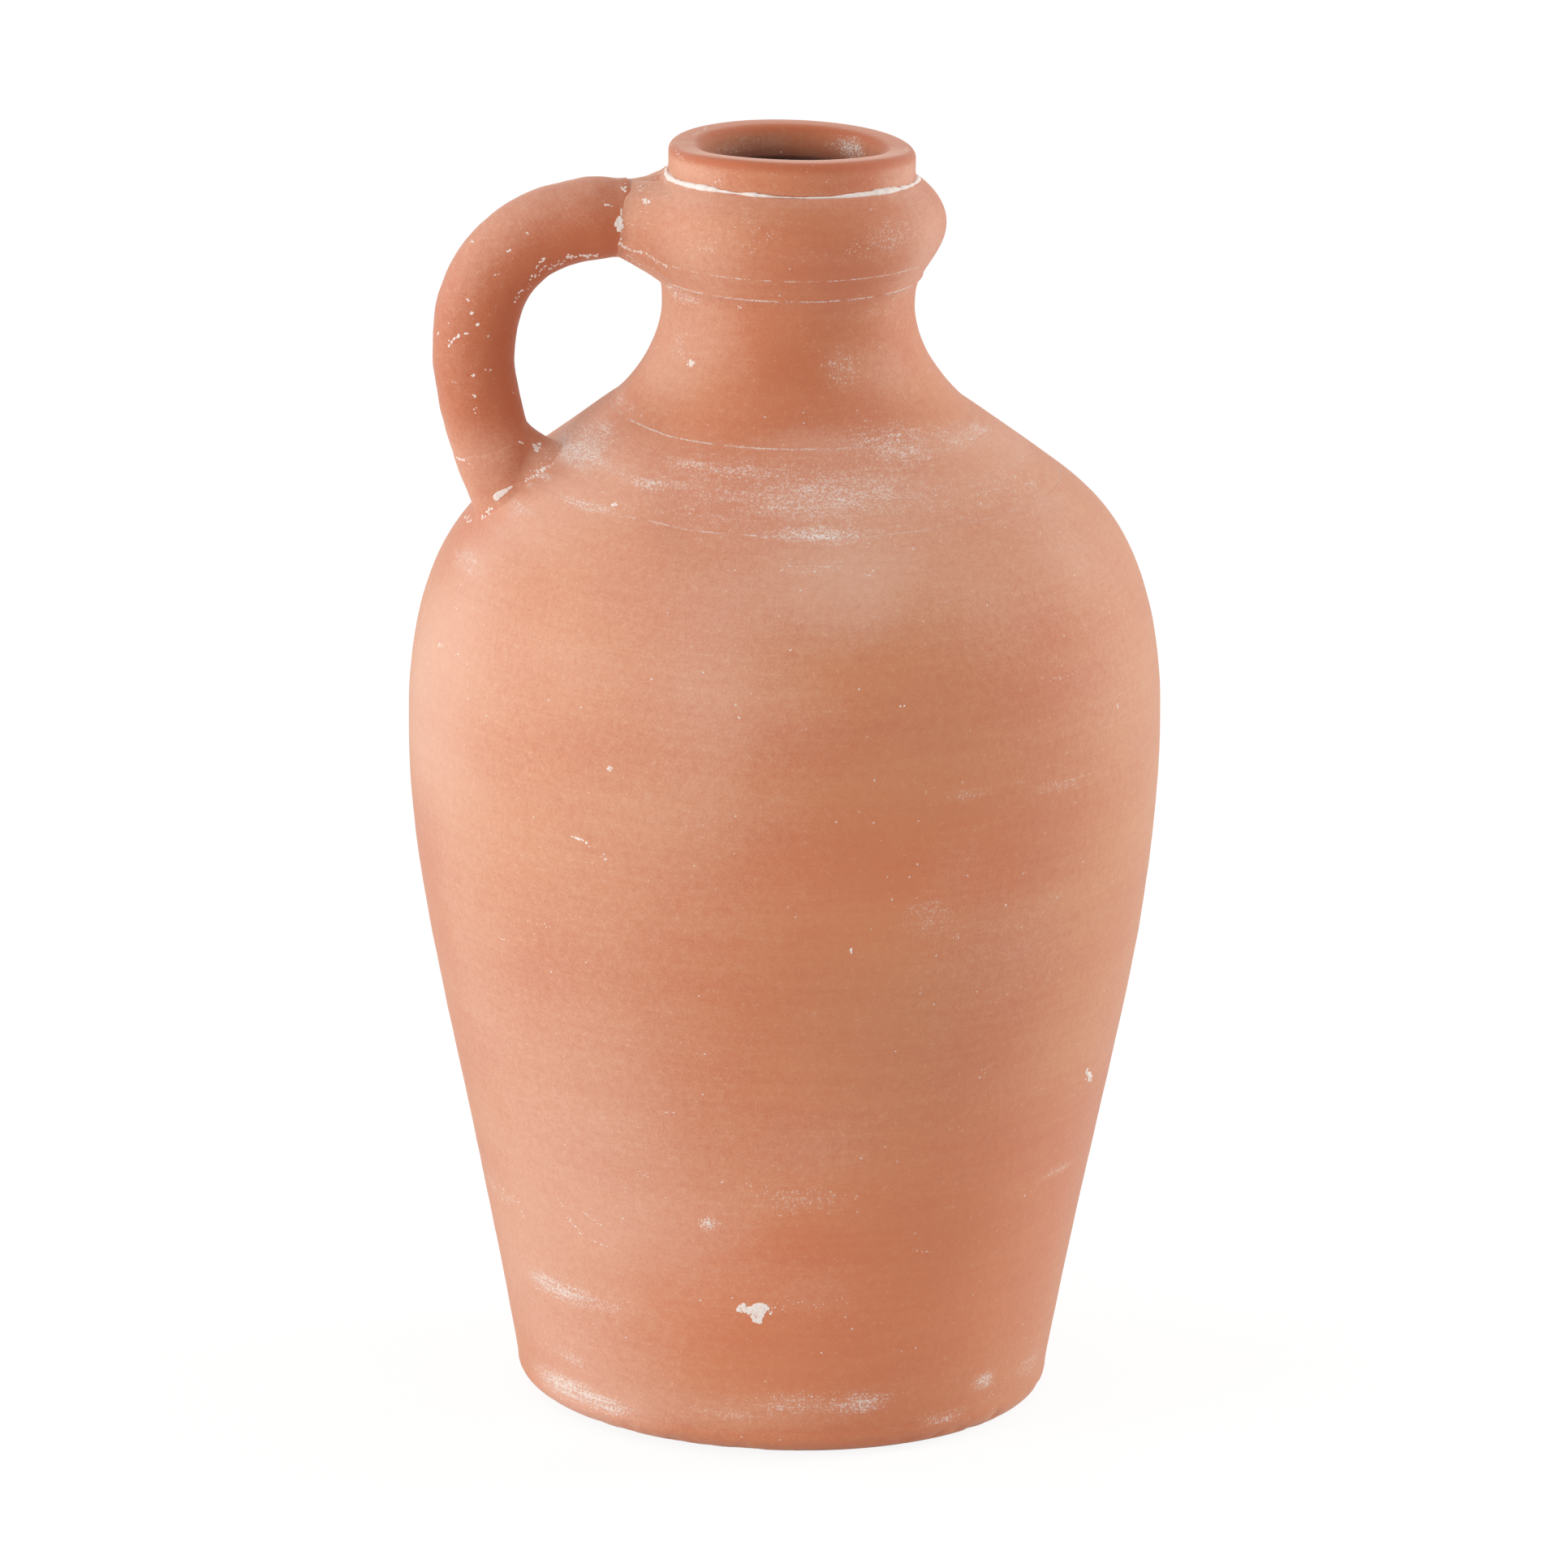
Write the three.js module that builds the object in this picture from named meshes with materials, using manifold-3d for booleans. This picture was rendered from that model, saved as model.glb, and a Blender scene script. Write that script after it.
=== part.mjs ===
// Terracotta jug with a round belly, a bulged collar and one ear handle.
// It is made of the pieces that a potter throws or rolls and then joins with a film of slip.
// Millimetres, +Z up. The origin is on the jug's axis, in the plane it stands on.
// The handle is on the -X side.

import * as THREE from 'three';
import { mergeVertices } from 'three/addons/utils/BufferGeometryUtils.js';
import Module from 'manifold-3d';

// Driving dimensions: heights of the stacked pieces, each with the slip under it
const SLAB_HEIGHT = 9;
const BELLY_HEIGHT = 286.5;
const SHOULDER_HEIGHT = 20.5;
const NECK_HEIGHT = 43.5;
const COLLAR_HEIGHT = 30;
const LIP_HEIGHT = 9.5;
const WIDEST_BELOW_SHOULDER = 77.5;
const WAIST_BELOW_COLLAR = 10.5;

// Driving dimensions: outer radii
const FOOT_RADIUS = 83;
const BELLY_RADIUS = 117;
const SHOULDER_RADIUS = 83;
const NECK_ROOT_RADIUS = 54.5;
const NECK_RADIUS = 38;
const LIP_RADIUS = 38;

// Driving dimensions: walls, steps and rounded edges
const WALL = 8.5;
const LIP_WALL = 9;
const COLLAR_SWELL = 9.5;
const COLLAR_HOLLOW = 7;
const COLLAR_LEDGE = 1.5;
const NECK_FLARE = 3.5;
const FOOT_ROUND = 8;
const LIP_OUTER_ROUND = 3.5;
const LIP_INNER_ROUND = 4;
const BEAD_HEIGHT = 1.2;
const FOOT_LEAN = THREE.MathUtils.degToRad(9.6);
const COLLAR_LEAN = THREE.MathUtils.degToRad(42.5);

// Driving dimensions: handle, and the two pieces of clay that carry it
const HANDLE_THICKNESS = 26;
const HANDLE_BOW = 6;
const HANDLE_BEND = 42.5;
const STUB_LENGTH = 6;
const STUB_FLARE = 3.5;
const STUB_SHIFT = -4;
const STUB_SPREAD = 10;
const PAD_OUTSET = 5.5;
const PAD_RISE = 13;
const PAD_FLARE = 2;
const PAD_SHIFT = 2.5;
const PAD_SPREAD = 5;
const PAD_LEAN = THREE.MathUtils.degToRad(17.5);

// Clearance: the film of slip between two pieces
const SLIP = 0.3;

// How far a curve's end pulls it along, as a share of the distance between its ends
const BELLY_PULLS = [0.47, 0.3];
const SHOULDER_PULLS = [0.62, 0.18];
const THROAT_PULLS = [0.08, 0.44];
const FLARE_PULLS = [0.4, 0.35];
const HANDLE_TOP_PULLS = [0.68, 0.68];
const HANDLE_SIDE_PULLS = [0.33, 0.33];

// Faces
const TURNS = 48;
const COIL_SIDES = 18;
const COIL_STEPS = 28;
const SMEAR_RINGS = 5;
const ROUND_STEPS = 2;
const LOWER_STEPS = 12;
const UPPER_STEPS = 10;
const SLOPE_STEPS = 2;
const THROAT_STEPS = 8;
const FLARE_STEPS = 3;
const COLLAR_STEPS = 10;
const INNER_STEPS = 6;

// Heights of the joints, from the stand upwards
const slabTop = SLAB_HEIGHT;
const bellyTop = slabTop + BELLY_HEIGHT;
const shoulderTop = bellyTop + SHOULDER_HEIGHT;
const neckTop = shoulderTop + NECK_HEIGHT;
const collarTop = neckTop + COLLAR_HEIGHT;
const lipTop = collarTop + LIP_HEIGHT;

// Points and directions in the jug's half section: x is the radius, y the height
const at = (radius, height) => new THREE.Vector2(radius, height);
const leaning = (angle) => at(Math.sin(angle), Math.cos(angle));
const upright = leaning(0);

// A curve that leaves one point in one direction and reaches another in another
function swell(start, leaving, end, arriving, [leavingPull, arrivingPull]) {
  const span = start.distanceTo(end);
  return new THREE.CubicBezierCurve(
    start,
    start.clone().addScaledVector(leaving, span * leavingPull),
    end.clone().addScaledVector(arriving, -span * arrivingPull),
    end,
  );
}

// A bulge from one point to another that swells to a radius half way up
function bulge(start, end, radius) {
  const pulled = 2 * radius - (start.x + end.x) / 2;
  return new THREE.QuadraticBezierCurve(start, at(pulled, (start.y + end.y) / 2), end);
}

// Points along a curve, moved sideways: inwards where the distance is positive
function trace(curve, steps, inwards = 0) {
  return Array.from({ length: steps + 1 }, (_, i) => {
    const along = curve.getTangent(i / steps);
    return curve.getPoint(i / steps).add(at(-along.y, along.x).multiplyScalar(inwards));
  });
}

// A piece turned about the jug's axis from an outline that runs up its outside
function turned(outline) {
  return new THREE.LatheGeometry(outline, TURNS).rotateX(Math.PI / 2);
}

// A ring: up the outer line, down the inner one and closed
function ring(outer, inner) {
  return turned([...outer, ...inner.toReversed(), outer[0]]);
}

// Solids for the cuts
const wasm = await Module();
wasm.setup();

function solid(geometry) {
  const bare = geometry.clone();
  bare.deleteAttribute('normal');
  bare.deleteAttribute('uv');
  const merged = mergeVertices(bare, 1e-4);
  return new wasm.Manifold(new wasm.Mesh({
    numProp: 3,
    vertProperties: new Float32Array(merged.attributes.position.array),
    triVerts: new Uint32Array(merged.index.array),
  }));
}

function cut(geometry, cutter) {
  const { vertProperties, triVerts } = solid(geometry).subtract(solid(cutter)).getMesh();
  const left = new THREE.BufferGeometry();
  left.setAttribute('position', new THREE.BufferAttribute(vertProperties, 3));
  left.setIndex(new THREE.BufferAttribute(triVerts, 1));
  left.computeVertexNormals();
  return left;
}

// Floor slab with its rounded foot edge
function baseSlab() {
  const outline = new THREE.Path();
  const round = Math.min(FOOT_ROUND, slabTop);
  outline.moveTo(0, 0);
  outline.lineTo(FOOT_RADIUS - round, 0);
  outline.absarc(FOOT_RADIUS - round, round, round, -Math.PI / 2, 0);
  outline.lineTo(FOOT_RADIUS, slabTop);
  outline.lineTo(0, slabTop);
  return turned(outline.getPoints(ROUND_STEPS));
}

// Outer curves of the thrown walls, which run into each other at the joints
const shoulderFoot = at(SHOULDER_RADIUS, bellyTop);
const neckRoot = at(NECK_ROOT_RADIUS, shoulderTop);
const closing = neckRoot.clone().sub(shoulderFoot).normalize();
const widest = at(BELLY_RADIUS, bellyTop - WIDEST_BELOW_SHOULDER);
const waist = at(NECK_RADIUS, neckTop - WAIST_BELOW_COLLAR);
const collarSeat = at(NECK_RADIUS + NECK_FLARE, neckTop);
const pastSlip = (point) => point.clone().addScaledVector(closing, SLIP);

const bellyFoot = at(FOOT_RADIUS, slabTop + SLIP);
const lowerBelly = swell(bellyFoot, leaning(FOOT_LEAN), widest, upright, BELLY_PULLS);
const upperBelly = swell(widest, upright, shoulderFoot, closing, SHOULDER_PULLS);
const shoulderSlope = new THREE.LineCurve(pastSlip(shoulderFoot), neckRoot);
const throat = swell(pastSlip(neckRoot), closing, waist, upright, THROAT_PULLS);
const neckFlare = swell(waist, upright, collarSeat, leaning(COLLAR_LEAN), FLARE_PULLS);
const collarFoot = at(collarSeat.x, neckTop + SLIP);
const collarEdge = at(LIP_RADIUS + COLLAR_LEDGE, collarTop);
const collarRadius = NECK_RADIUS + COLLAR_SWELL;
const collarBulge = bulge(collarFoot, collarEdge, collarRadius);

const neckBore = NECK_RADIUS - WALL;
const mouth = LIP_RADIUS - LIP_WALL;

function bellyWall() {
  const outer = [...trace(lowerBelly, LOWER_STEPS), ...trace(upperBelly, UPPER_STEPS).slice(1)];
  const inner = [lowerBelly, upperBelly].flatMap((curve) => trace(curve, INNER_STEPS, WALL).slice(1));
  return ring(outer, [at(FOOT_RADIUS - WALL, bellyFoot.y), ...inner]);
}

function shoulderRing() {
  return ring(trace(shoulderSlope, SLOPE_STEPS), trace(shoulderSlope, SLOPE_STEPS, WALL));
}

function neckPiece() {
  const outer = [...trace(throat, THROAT_STEPS), ...trace(neckFlare, FLARE_STEPS).slice(1)];
  return ring(outer, [...trace(throat, INNER_STEPS, WALL), at(neckBore, neckTop)]);
}

function collarPiece() {
  const hollow = (neckBore + mouth) / 2 + COLLAR_HOLLOW;
  const inside = bulge(at(neckBore, collarFoot.y), at(mouth, collarTop), hollow);
  return ring(trace(collarBulge, COLLAR_STEPS), trace(inside, INNER_STEPS));
}

// White slip left in the groove, on the collar's ledge and against the lip's side
function slipBead() {
  const foot = at(LIP_RADIUS + SLIP, collarTop + SLIP);
  const outer = at(LIP_RADIUS + COLLAR_LEDGE, foot.y);
  const top = at(foot.x, foot.y + BEAD_HEIGHT);
  const face = new THREE.QuadraticBezierCurve(outer, at(outer.x, top.y), top);
  return turned([foot, ...trace(face, SLOPE_STEPS), foot]);
}

function lipRing() {
  const outline = new THREE.Path();
  outline.moveTo(mouth, collarTop + SLIP);
  outline.lineTo(LIP_RADIUS, collarTop + SLIP);
  const outerRound = Math.min(LIP_OUTER_ROUND, LIP_WALL / 2);
  const innerRound = Math.min(LIP_INNER_ROUND, LIP_WALL / 2);
  outline.absarc(LIP_RADIUS - outerRound, lipTop - outerRound, outerRound, 0, Math.PI / 2);
  outline.absarc(mouth + innerRound, lipTop - innerRound, innerRound, Math.PI / 2, Math.PI);
  outline.closePath();
  return turned(outline.getPoints(ROUND_STEPS));
}

// The whole jug's outside, one film of slip larger, which trims what is luted on to it
function outsideWithSlip() {
  const curves = [
    [lowerBelly, LOWER_STEPS],
    [upperBelly, UPPER_STEPS],
    [shoulderSlope, SLOPE_STEPS],
    [throat, THROAT_STEPS],
    [neckFlare, FLARE_STEPS],
    [collarBulge, COLLAR_STEPS],
  ];
  const outer = curves.flatMap(([curve, steps]) => trace(curve, steps, -SLIP).slice(1));
  const lipSide = [collarTop + SLIP, lipTop].map((height) => at(LIP_RADIUS + COLLAR_LEDGE, height));
  return turned([at(0, outer[0].y), ...outer, ...lipSide, at(0, lipTop)]);
}

// Height of the outer wall where it closes in to a radius above its widest ring
function wallHeightAt(radius) {
  const line = [...trace(upperBelly, UPPER_STEPS), ...trace(shoulderSlope, SLOPE_STEPS).slice(1)];
  const above = line.findIndex((point) => point.x <= radius);
  const [low, high] = [line[above - 1], line[above]];
  return low.y + (high.y - low.y) * (low.x - radius) / (low.x - high.x);
}

// The handle's line: out from the stub, over its bend and down to the pad
const handleHeight = collarTop - HANDLE_THICKNESS / 2;
const stubSeam = at(collarRadius + STUB_LENGTH, handleHeight);
const padRadius = SHOULDER_RADIUS + PAD_OUTSET;
const padFoot = at(padRadius, wallHeightAt(padRadius));
const padSeam = padFoot.clone().addScaledVector(leaning(PAD_LEAN), PAD_RISE);
const bow = at(padSeam.x + HANDLE_BOW, handleHeight - HANDLE_BEND);

const onHandleSide = (point) => new THREE.Vector3(-point.x, 0, point.y);
const inSpace = (curve) => new THREE.CubicBezierCurve3(
  ...[curve.v0, curve.v1, curve.v2, curve.v3].map(onHandleSide),
);

function handleCoil() {
  const down = leaning(PAD_LEAN).negate();
  const over = new THREE.CubicBezierCurve(
    stubSeam,
    at(THREE.MathUtils.lerp(stubSeam.x, bow.x, HANDLE_TOP_PULLS[0]), stubSeam.y),
    at(bow.x, THREE.MathUtils.lerp(bow.y, stubSeam.y, HANDLE_TOP_PULLS[1])),
    bow,
  );
  const side = swell(bow, upright.clone().negate(), padSeam, down, HANDLE_SIDE_PULLS);
  const path = new THREE.CurvePath();
  path.add(inSpace(over));
  path.add(inSpace(side));
  const section = new THREE.Shape(Array.from({ length: COIL_SIDES }, (_, i) => {
    const turn = (i / COIL_SIDES) * 2 * Math.PI;
    return at(Math.cos(turn), Math.sin(turn)).multiplyScalar(HANDLE_THICKNESS / 2);
  }));
  return new THREE.ExtrudeGeometry(section, { steps: COIL_STEPS, extrudePath: path });
}

// A smear of clay along +X: round at its seam, larger and wider at its root, then domed shut.
// A shift moves its root sideways along Z.
function smear(root, flare, shift, spread) {
  const seamRadius = HANDLE_THICKNESS / 2;
  const steps = Array.from({ length: SMEAR_RINGS + 1 }, (_, i) => i / SMEAR_RINGS);
  const trumpet = steps.map((share) => at(seamRadius + flare * share ** 2, root * share));
  const dome = new THREE.EllipseCurve(0, root, seamRadius + flare, WALL, 0, Math.PI / 2);
  const outline = [at(0, 0), ...trumpet, ...dome.getPoints(SMEAR_RINGS).slice(1)];
  const geometry = new THREE.LatheGeometry(outline, COIL_SIDES * 2).rotateZ(-Math.PI / 2);
  const place = geometry.attributes.position;
  for (let i = 0; i < place.count; i += 1) {
    const share = Math.min(place.getX(i) / root, 1) ** 2;
    place.setY(i, place.getY(i) * (1 + (share * spread) / seamRadius));
    place.setZ(i, place.getZ(i) + share * shift);
  }
  return geometry;
}

const outside = outsideWithSlip();

function upperStub() {
  const clay = smear(stubSeam.x - collarSeat.x, STUB_FLARE, STUB_SHIFT, STUB_SPREAD);
  clay.translate(SLIP - stubSeam.x, 0, stubSeam.y);
  return cut(clay, outside);
}

function lowerPad() {
  const clay = smear(PAD_RISE, PAD_FLARE, PAD_SHIFT, PAD_SPREAD);
  clay.translate(SLIP, 0, 0).rotateY(Math.PI / 2 - PAD_LEAN);
  clay.translate(-padSeam.x, 0, padSeam.y);
  return cut(clay, outside);
}

// The jug
const jug = new THREE.Group();
jug.name = 'jug';

function add(name, geometry, color) {
  const clay = new THREE.MeshStandardMaterial({ color, roughness: 0.92, metalness: 0 });
  const piece = new THREE.Mesh(geometry, clay);
  piece.name = name;
  jug.add(piece);
}

add('base_slab', baseSlab(), 0xc98668);
add('belly_wall', bellyWall(), 0xcb8362);
add('shoulder_ring', shoulderRing(), 0xcf8d6e);
add('neck', neckPiece(), 0xc98061);
add('collar', collarPiece(), 0xcd8768);
add('lip', lipRing(), 0xd19274);
add('slip_bead', slipBead(), 0xe9ddd4);
add('handle', handleCoil(), 0xd09375);
add('upper_stub', upperStub(), 0xcc8a6c);
add('lower_pad', lowerPad(), 0xca8a6d);

export default jug;
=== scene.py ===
# %% [markdown]
# # A terracotta jug
#
# A potter throws this jug in short pieces, sticks them together with slip, bends a handle from a
# coil of clay and fires the whole without a glaze. The imported model holds those pieces at their
# real size. This script keeps them as its frame and makes the skin that the eye sees: walls that
# are not quite round, smeared joints, a chalky bloom that also carries painted highlights, painted
# shade in the hollow, and crumbs of white slip.

import math
import random

import bpy
import numpy as np
from mathutils import Matrix, Vector, noise
from mathutils.bvhtree import BVHTree


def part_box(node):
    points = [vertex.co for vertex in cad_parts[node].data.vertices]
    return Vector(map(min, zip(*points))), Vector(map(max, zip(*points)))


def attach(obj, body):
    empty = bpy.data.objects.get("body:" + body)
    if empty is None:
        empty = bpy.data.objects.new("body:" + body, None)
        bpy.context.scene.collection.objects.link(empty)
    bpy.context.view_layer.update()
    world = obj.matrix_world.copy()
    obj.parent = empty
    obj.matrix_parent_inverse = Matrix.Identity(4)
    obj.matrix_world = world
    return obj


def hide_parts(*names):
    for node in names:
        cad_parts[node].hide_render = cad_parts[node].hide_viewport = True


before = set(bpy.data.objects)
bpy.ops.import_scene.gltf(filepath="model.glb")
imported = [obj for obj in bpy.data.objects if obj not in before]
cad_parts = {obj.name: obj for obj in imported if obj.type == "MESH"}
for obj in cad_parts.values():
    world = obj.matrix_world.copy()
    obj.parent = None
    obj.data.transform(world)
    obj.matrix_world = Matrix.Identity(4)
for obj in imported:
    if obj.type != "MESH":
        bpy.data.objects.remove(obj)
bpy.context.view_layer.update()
scene = bpy.context.scene
MM = 0.001

# %% [markdown]
# ## Sizes
#
# The joints' heights and the widest radii are read from the frame, so the skin follows the model.
# The few sizes that a box can't tell, such as where the waist is, are written here once, in
# millimetres. The collar was pressed on wet, so its two joints sit a little lower than in the frame.

# %% Sizes from the frame, and the sizes that its boxes don't show
WALLS = ("base_slab", "belly_wall", "shoulder_ring", "neck", "collar", "lip")
slab_top, belly_top, shoulder_top, neck_top, collar_top, lip_top = (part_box(node)[1].z for node in WALLS)
foot_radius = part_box("base_slab")[1].x
belly_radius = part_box("belly_wall")[1].x
lip_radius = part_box("lip")[1].x

WALL = 8.5 * MM
SHOULDER_RADIUS = 83 * MM
NECK_ROOT_RADIUS = 55.9 * MM
NECK_RADIUS = 39 * MM
NECK_FLARE = 2.5 * MM
COLLAR_LEDGE = 1.5 * MM
COLLAR_HOLLOW = 7 * MM
LIP_WALL = 10.5 * MM
WIDEST_BELOW_SHOULDER = 77.5 * MM
WAIST_BELOW_COLLAR = 10.5 * MM
FOOT_ROUND = 10 * MM
FOOT_SQUARENESS = 0.85
FOOT_HOLLOW = 0.6 * MM
CREASE_DROP = 0.8 * MM
GROOVE_DROP = 1.0 * MM
RIM_DROP = 0.7 * MM
crease = neck_top - CREASE_DROP
groove = collar_top - GROOVE_DROP
rim = lip_top - RIM_DROP
neck_bore = NECK_RADIUS - WALL
mouth = lip_radius - LIP_WALL
print(f"jug {lip_top / MM:.0f} mm tall, {2 * belly_radius / MM:.0f} mm across")

# %% [markdown]
# ## Camera
#
# The photograph was taken with a long lens from a little above the jug, with the handle turned a
# little towards the viewer. The picture is 1932 pixels square. A helper turns a pixel of that
# picture into a ray, so that a mark seen in the photograph can be put on the clay that carries it.

# %% The camera
PICTURE = 1932
CAMERA_AWAY = 4.0
CAMERA_HEIGHT = 1.3189
CAMERA_BEARING = math.radians(-8)
CAMERA_TURN = math.radians(0.0307)
CAMERA_PITCH = math.radians(15.705)
CAMERA_ROLL = math.radians(0.9)
LENS = 306.14
SENSOR = 36

camera = bpy.data.objects.new("camera", bpy.data.cameras.new("camera"))
camera.data.lens = LENS
camera.data.sensor_width = SENSOR
camera.data.clip_end = 50
camera_place = Vector((math.sin(CAMERA_BEARING), -math.cos(CAMERA_BEARING), 0)) * CAMERA_AWAY
camera_place.z = CAMERA_HEIGHT
heading = Matrix.Rotation(CAMERA_BEARING + CAMERA_TURN, 4, "Z")
nod = Matrix.Rotation(math.pi / 2 - CAMERA_PITCH, 4, "X")
roll = Matrix.Rotation(CAMERA_ROLL, 4, "Z")
camera.matrix_world = Matrix.Translation(camera_place) @ heading @ nod @ roll
scene.collection.objects.link(camera)
scene.camera = camera


def ray_through(pixel):
    """The direction in which the camera sees a pixel of the 1932 pixel picture."""
    focal = LENS / SENSOR * PICTURE
    across, down = pixel[0] - PICTURE / 2, pixel[1] - PICTURE / 2
    return (camera.matrix_world.to_3x3() @ Vector((across, -down, -focal))).normalized()


print("camera at", [round(n, 3) for n in camera_place])

# %% [markdown]
# ## Node formulas
#
# Both the shapes and the finishes are node trees. Wiring nodes one by one is slow to read, so one
# small class wraps a socket: `a * 2 + b` then adds the Math nodes by itself, and `node` adds any
# other kind of node, with values for its sockets and its settings as keywords.

# %% A socket to write formulas with
class Sock:
    """A node's socket. Operators add Math nodes to its tree."""

    def __init__(self, tree, socket=None):
        self.tree = tree
        self.socket = socket

    def node(self, kind, values=None, output=0, **settings):
        """Adds a node with these settings and values at its sockets, and gives one of its outputs."""
        made = self.tree.nodes.new(kind)
        for name, value in settings.items():
            setattr(made, name, value)
        for key, value in (values or {}).items():
            target = made.inputs[key] if isinstance(key, int) else named(made.inputs, key)
            if isinstance(value, Sock):
                self.tree.links.new(value.socket, target)
            else:
                target.default_value = value
        if output is None:
            return None
        found = made.outputs[output] if isinstance(output, int) else named(made.outputs, output)
        return Sock(self.tree, found)

    def out(self, output):
        """Another output of the node that this socket belongs to."""
        return Sock(self.tree, named(self.socket.node.outputs, output))

    def maths(self, operation, *values):
        return self.node("ShaderNodeMath", dict(enumerate(values)), operation=operation)

    def __add__(self, other):
        return self.maths("ADD", self, other)

    def __sub__(self, other):
        return self.maths("SUBTRACT", self, other)

    def __rsub__(self, other):
        return self.maths("SUBTRACT", other, self)

    def __mul__(self, other):
        return self.maths("MULTIPLY", self, other)

    def __truediv__(self, other):
        return self.maths("DIVIDE", self, other)

    __radd__ = __add__
    __rmul__ = __mul__


def named(sockets, name):
    """The socket in use that has a name."""
    return next(s for s in sockets if s.name == name and s.enabled)


def ramp(value, low, high):
    """0 at low and 1 at high, eased at both ends. Low may be above high."""
    ends = {"Value": value, "From Min": low, "From Max": high}
    return value.node("ShaderNodeMapRange", ends, interpolation_type="SMOOTHSTEP")


def hump(value, start, full, fading, end):
    """0 up to start, 1 from full to fading, and 0 again from end on."""
    return ramp(value, start, full) * ramp(value, end, fading)


def split(vector):
    """A vector's three numbers."""
    parts = vector.node("ShaderNodeSeparateXYZ", {0: vector})
    return parts, parts.out("Y"), parts.out("Z")


def joined(x, y, z):
    """A vector from three numbers, of which the first is a socket."""
    return x.node("ShaderNodeCombineXYZ", {0: x, 1: y, 2: z})


def clouds(vector, scale, detail=2.0, seed=0.0, output="Fac"):
    """Soft noise between 0 and 1, about 0.5 in the middle."""
    values = {"Vector": vector, "W": seed, "Scale": scale, "Detail": detail}
    return vector.node("ShaderNodeTexNoise", values, output, noise_dimensions="4D")


# %% Trees that make geometry
SOCKETS = {int: "NodeSocketInt", float: "NodeSocketFloat", bpy.types.Material: "NodeSocketMaterial"}


def new_tree(name, values):
    """An empty geometry tree that takes values like these, and its named inputs."""
    tree = bpy.data.node_groups.new(name, "GeometryNodeTree")
    tree.interface.new_socket("Geometry", in_out="OUTPUT", socket_type="NodeSocketGeometry")
    tree.interface.new_socket("Geometry", in_out="INPUT", socket_type="NodeSocketGeometry")
    for label, value in values.items():
        tree.interface.new_socket(label, in_out="INPUT", socket_type=SOCKETS[type(value)])
    entry = tree.nodes.new("NodeGroupInput")
    return Sock(tree), {s.name: Sock(tree, s) for s in entry.outputs if s.name}


def finish_tree(geometry, clay, smooth=True):
    """Ends a tree: real faces, smooth or flat, with their material."""
    real = geometry.node("GeometryNodeRealizeInstances", {"Geometry": geometry})
    shaded = real.node("GeometryNodeSetShadeSmooth", {"Geometry": real, "Shade Smooth": smooth})
    painted = shaded.node("GeometryNodeSetMaterial", {"Geometry": shaded, "Material": clay})
    painted.node("NodeGroupOutput", {"Geometry": painted}, None)


def keep(mesh, label, vectors):
    """Keeps three numbers for each point of a mesh, for a tree or a shader to read."""
    layer = mesh.attributes.new(label, "FLOAT_VECTOR", "POINT")
    layer.data.foreach_set("vector", np.array(vectors).ravel())


def grow(name, tree, points, edges, values, faces=(), traits=None):
    """Runs a tree on a start mesh and keeps what it makes as a plain mesh at the origin."""
    start = bpy.data.meshes.new(name)
    start.from_pydata([tuple(p) for p in points], edges, faces)
    for label, vectors in (traits or {}).items():
        keep(start, label, vectors)
    piece = bpy.data.objects.new(name, start)
    scene.collection.objects.link(piece)
    modifier = piece.modifiers.new(name, "NODES")
    modifier.node_group = tree
    sockets = [s for s in tree.interface.items_tree if s.in_out == "INPUT"]
    identifiers = {s.name: s.identifier for s in sockets}
    for label, value in values.items():
        modifier[identifiers[label]] = value
    graph = bpy.context.evaluated_depsgraph_get()
    made = bpy.data.meshes.new_from_object(piece.evaluated_get(graph), depsgraph=graph)
    piece.modifiers.clear()
    piece.data = made
    bpy.data.meshes.remove(start)
    made.name = name
    print(f"{name}: {len(made.polygons)} faces")
    return piece


# %% [markdown]
# ## Settling
#
# Clay moves while it is wet. This jug leans a little to the handle's side, its belly and neck have
# drifted the same way and its shoulder the other way. The shoulder was pushed up under the handle,
# and the mouth dips on the far side and is raised in front. One tree holds that movement, and every
# piece but the crumbs goes through it last, so that the joints stay shut. The crumbs are laid after it.

# %% The tree that lets the clay settle
LEAN = 0.007
BELLY_DRIFT = 0.8 * MM
SHOULDER_DRIFT = 1.0 * MM
NECK_DRIFT = 0.7 * MM
MOUTH_DIP = math.tan(math.radians(1.0))
GROOVE_LIFT = 1.9 * MM
RIM_LIFT = 0.8 * MM
SHOULDER_LIFT = 1.2 * MM
# Heights in metres at which a movement starts, is full, fades and ends.
BELLY_SPAN = (0.11, 0.2, 0.23, 0.29)
SHOULDER_SPAN = (0.25, 0.285, 0.3, 0.325)
NECK_SPAN = (0.318, 0.335, 0.36, 0.375)
LIFTED_SPAN = (0.28, 0.296, 0.322, 0.335)
# The x at which a movement starts and at which it is full.
UNDER_HANDLE = (-0.04, -0.055)
OUTER_SHOULDER = (-0.108, -0.085)
MOUTH_SIDE = (-0.055, -lip_radius)


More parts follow.
